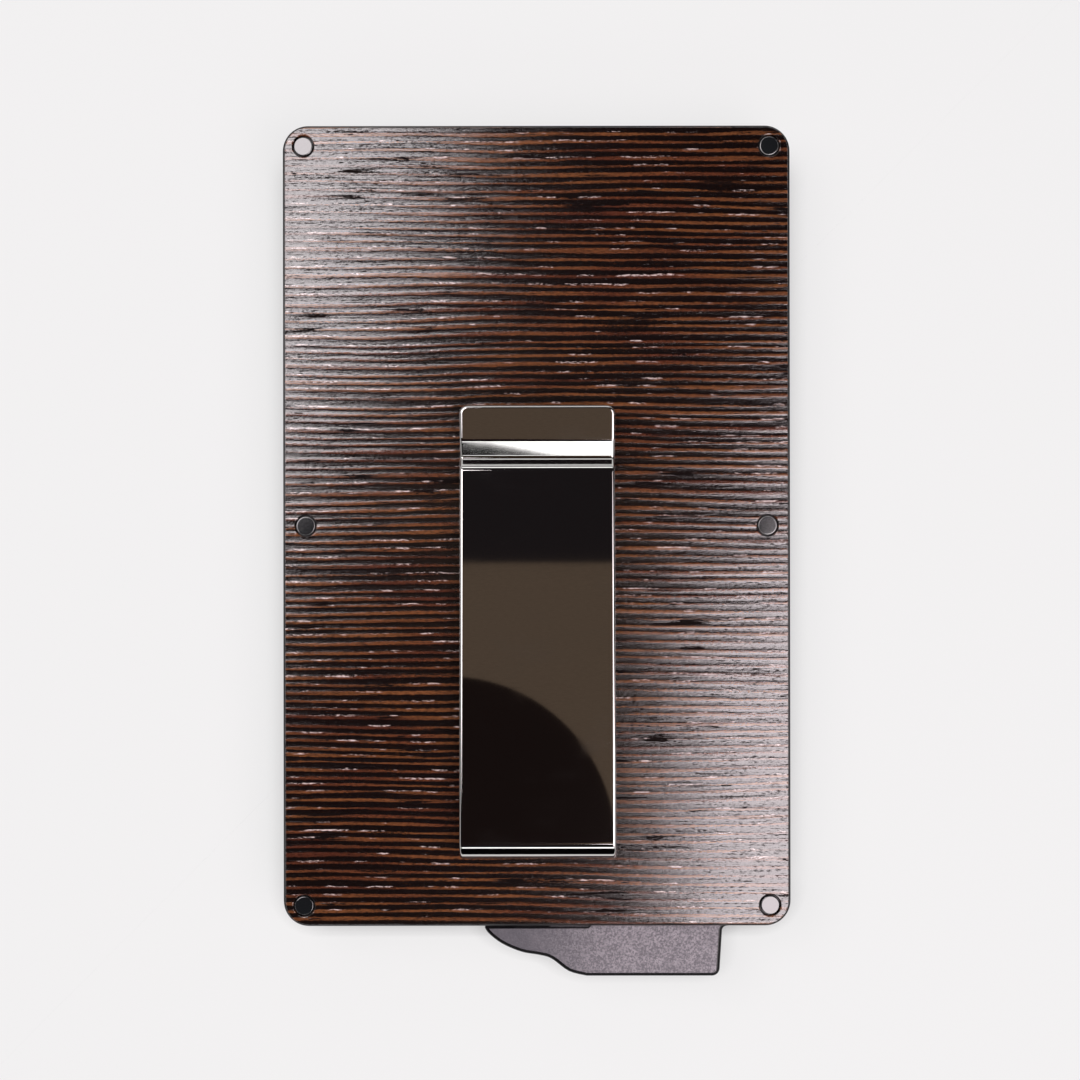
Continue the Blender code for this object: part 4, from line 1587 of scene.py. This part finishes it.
@dataclass
class Studio:
    """The pale floor, the soft lights, the cards that the chrome mirrors, and the camera."""

    face: float
    view_distance: float = 200 * MM
    lens: float = 53.03
    sensor: float = 36.0
    view_start: float = 10 * MM
    eye: Point2 = (0.42 * MM, -1.8 * MM)
    roll: float = -0.08
    floor_size: float = 12.0
    floor_gap: float = 0.02 * MM
    floor_base: Colour = (0.12, 0.12, 0.12)
    floor_glow: Colour = (0.715, 0.715, 0.715)
    # Reach and lean of the painted contact shadow on the floor.
    shade_reach: float = 4.0 * MM
    shade_lean: float = math.radians(50)
    horizon: Colour = (0.8, 0.8, 0.8)
    overhead: Colour = (0.013, 0.0105, 0.0115)
    dimming: Point2 = (0.1, 0.45)
    ceiling_glow: Colour = (0.098, 0.07, 0.05)
    disc_glow: Colour = (0.0105, 0.0065, 0.006)
    flag_glow: Colour = (0.001, 0.001, 0.001)
    ceiling_rise: float = 0.4
    ceiling: Sequence[Point2] = ((-0.055, -0.197), (0.055, -0.197), (0.055, 0.027), (-0.055, 0.027))
    disc_rise: float = 0.1
    disc_centre: Point2 = (-0.0164, -0.0486)
    disc_radius: float = 0.03075
    flag_distance: float = 0.3
    near_flag: Sequence[Point2] = ((-0.3, 0.0), (0.3, 0.0), (0.3, 0.2023), (-0.3, 0.309))
    right_flag: Sequence[Point2] = ((-0.05, 0.0), (0.35, 0.0), (0.35, 0.14), (-0.05, 0.14))

    @staticmethod
    def matt(sheet: Sheet, base: Colour, glow: Union[Value, Colour]) -> None:
        """Write a surface without gloss.

        Args:
            sheet: the sheet to write on.
            base: the colour that it shows under light.
            glow: the colour that it gives off by itself.
        """
        sheet.surface({
            "Base Color": base,
            "Roughness": 1.0,
            "Specular IOR Level": 0.0,
            "Emission Color": glow,
            "Emission Strength": 1.0,
        })

    @staticmethod
    def card(name: str, corners: Sequence[Sequence[float]], glow: Colour) -> None:
        """Put up a flat card near the wallet, which only its reflections show.

        Args:
            name: the card's name.
            corners: its corners, in order.
            glow: the colour that it gives off.
        """
        card = Bench.chain(name, corners, closed=True)
        Bench.rest()
        material, sheet = new_material(name)
        Studio.matt(sheet, BLACK, glow)
        card.data.materials.append(material)
        card.visible_camera = False
        card.visible_shadow = False
        card.visible_diffuse = False

    def floor(self) -> None:
        """The pale floor that the wallet lies on, with a shadow painted into its glow where the wallet stands
        close over it.
        """
        Bench.rest()
        bpy.ops.mesh.primitive_plane_add(size=self.floor_size, location=(0.0, 0.0, -self.floor_gap))
        floor = Bench.settle("floor")
        material, sheet = new_material("Pale floor")
        # Painted contact shadow: the floor's glow is dimmed by ambient occlusion, leaning towards +Y, where
        # the wallet stands close over it.
        leaning = sheet.joined(0.0, math.sin(self.shade_lean), math.cos(self.shade_lean))
        near = {"Distance": self.shade_reach, "Normal": leaning}
        painted_shadow_openness = sheet.add("ShaderNodeAmbientOcclusion", {}, near, output="AO")
        self.matt(sheet, self.floor_base, sheet.blend(painted_shadow_openness, BLACK, self.floor_glow))
        floor.data.materials.append(material)

    def world(self) -> None:
        """A pale surround near the horizon, dim overhead."""
        world = bpy.data.worlds.new("Surround")
        bpy.context.scene.world = world
        world.use_nodes = True
        sheet = Sheet(world.node_tree)
        ray = sheet.add("ShaderNodeTexCoord", output="Generated")
        rise = sheet.parts(ray)[2]
        colour = sheet.blend(sheet.step(rise, *self.dimming), self.horizon, self.overhead)
        background = sheet.add("ShaderNodeBackground", {}, {"Color": colour, "Strength": 1.0})
        sheet.add("ShaderNodeOutputWorld", {}, {"Surface": background})

    def lamps(self) -> None:
        """The soft lights: one over each glossy corner, and two further out that edge the clip."""
        lamps = [
            Lamp("left softbox", Vector((-0.213, 0.121, 0.42)), (0.32, 0.3), 1.75, (1.0, 0.93, 0.95)),
            Lamp("right softbox", Vector((0.185, -0.1255, 0.42)), (0.34, 0.3), 1.95, (1.0, 0.9, 0.93)),
            Lamp("far softbox", Vector((0.0, 0.5, 0.36)), (0.5, 0.14), 0.35),
            Lamp("near strip", Vector((0.02, -0.36, 0.3)), (0.5, 0.12), 0.5),
        ]
        for lamp in lamps:
            lamp.light()

    def cards(self) -> None:
        """What the clip mirrors: a brown ceiling with a round dark flag, and dark flags at two sides."""
        ceiling = [(x, y, self.face + self.ceiling_rise) for x, y in self.ceiling]
        self.card("ceiling_card", ceiling, self.ceiling_glow)
        disc = Outline.arc(self.disc_centre, self.disc_radius, 0, 356, 89)
        round_flag = [(x, y, self.face + self.disc_rise) for x, y in disc]
        self.card("round_flag", round_flag, self.disc_glow)
        near = [(x, -self.flag_distance, z) for x, z in self.near_flag]
        self.card("near_flag", near, self.flag_glow)
        right = [(self.flag_distance, y, z) for y, z in self.right_flag]
        self.card("right_flag", right, self.flag_glow)

    def camera(self) -> None:
        """The camera, straight over the rear cover."""
        data = bpy.data.cameras.new("Camera")
        data.lens = self.lens
        data.sensor_width = self.sensor
        data.clip_start = self.view_start
        camera = bpy.data.objects.new("Camera", data)
        camera.location = (self.eye[0], self.eye[1], self.face + self.view_distance)
        camera.rotation_euler = (0.0, 0.0, math.radians(self.roll))
        bpy.context.scene.collection.objects.link(camera)
        bpy.context.scene.camera = camera

    def build(self) -> None:
        """Set up the studio."""
        bpy.context.scene.view_settings.view_transform = "Standard"
        self.floor()
        self.world()
        self.lamps()
        self.cards()
        self.camera()


def main() -> None:
    """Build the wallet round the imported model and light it."""
    logging.basicConfig(level=logging.INFO, format="%(name)s %(message)s")
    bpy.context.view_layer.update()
    posts = Posts()
    centres = posts.centres()
    Cover(Side.FRONT, centres, rivet_centres("spring_rivet")).build()
    Cover(Side.REAR, centres, rivet_centres("clip_rivet")).build()
    posts.build()
    Rails(centres).build()
    FanLever(middle("pivot_barrel")).build()
    PivotFittings(middle("pivot_barrel")).build()
    MoneyClip(rivet_centres("clip_rivet")).build()
    CardSpring(rivet_centres("spring_rivet")).build()
    Rivets().build()
    Studio(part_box("rear_veneer")[1].z).build()


if __name__ == "__main__":
    main()
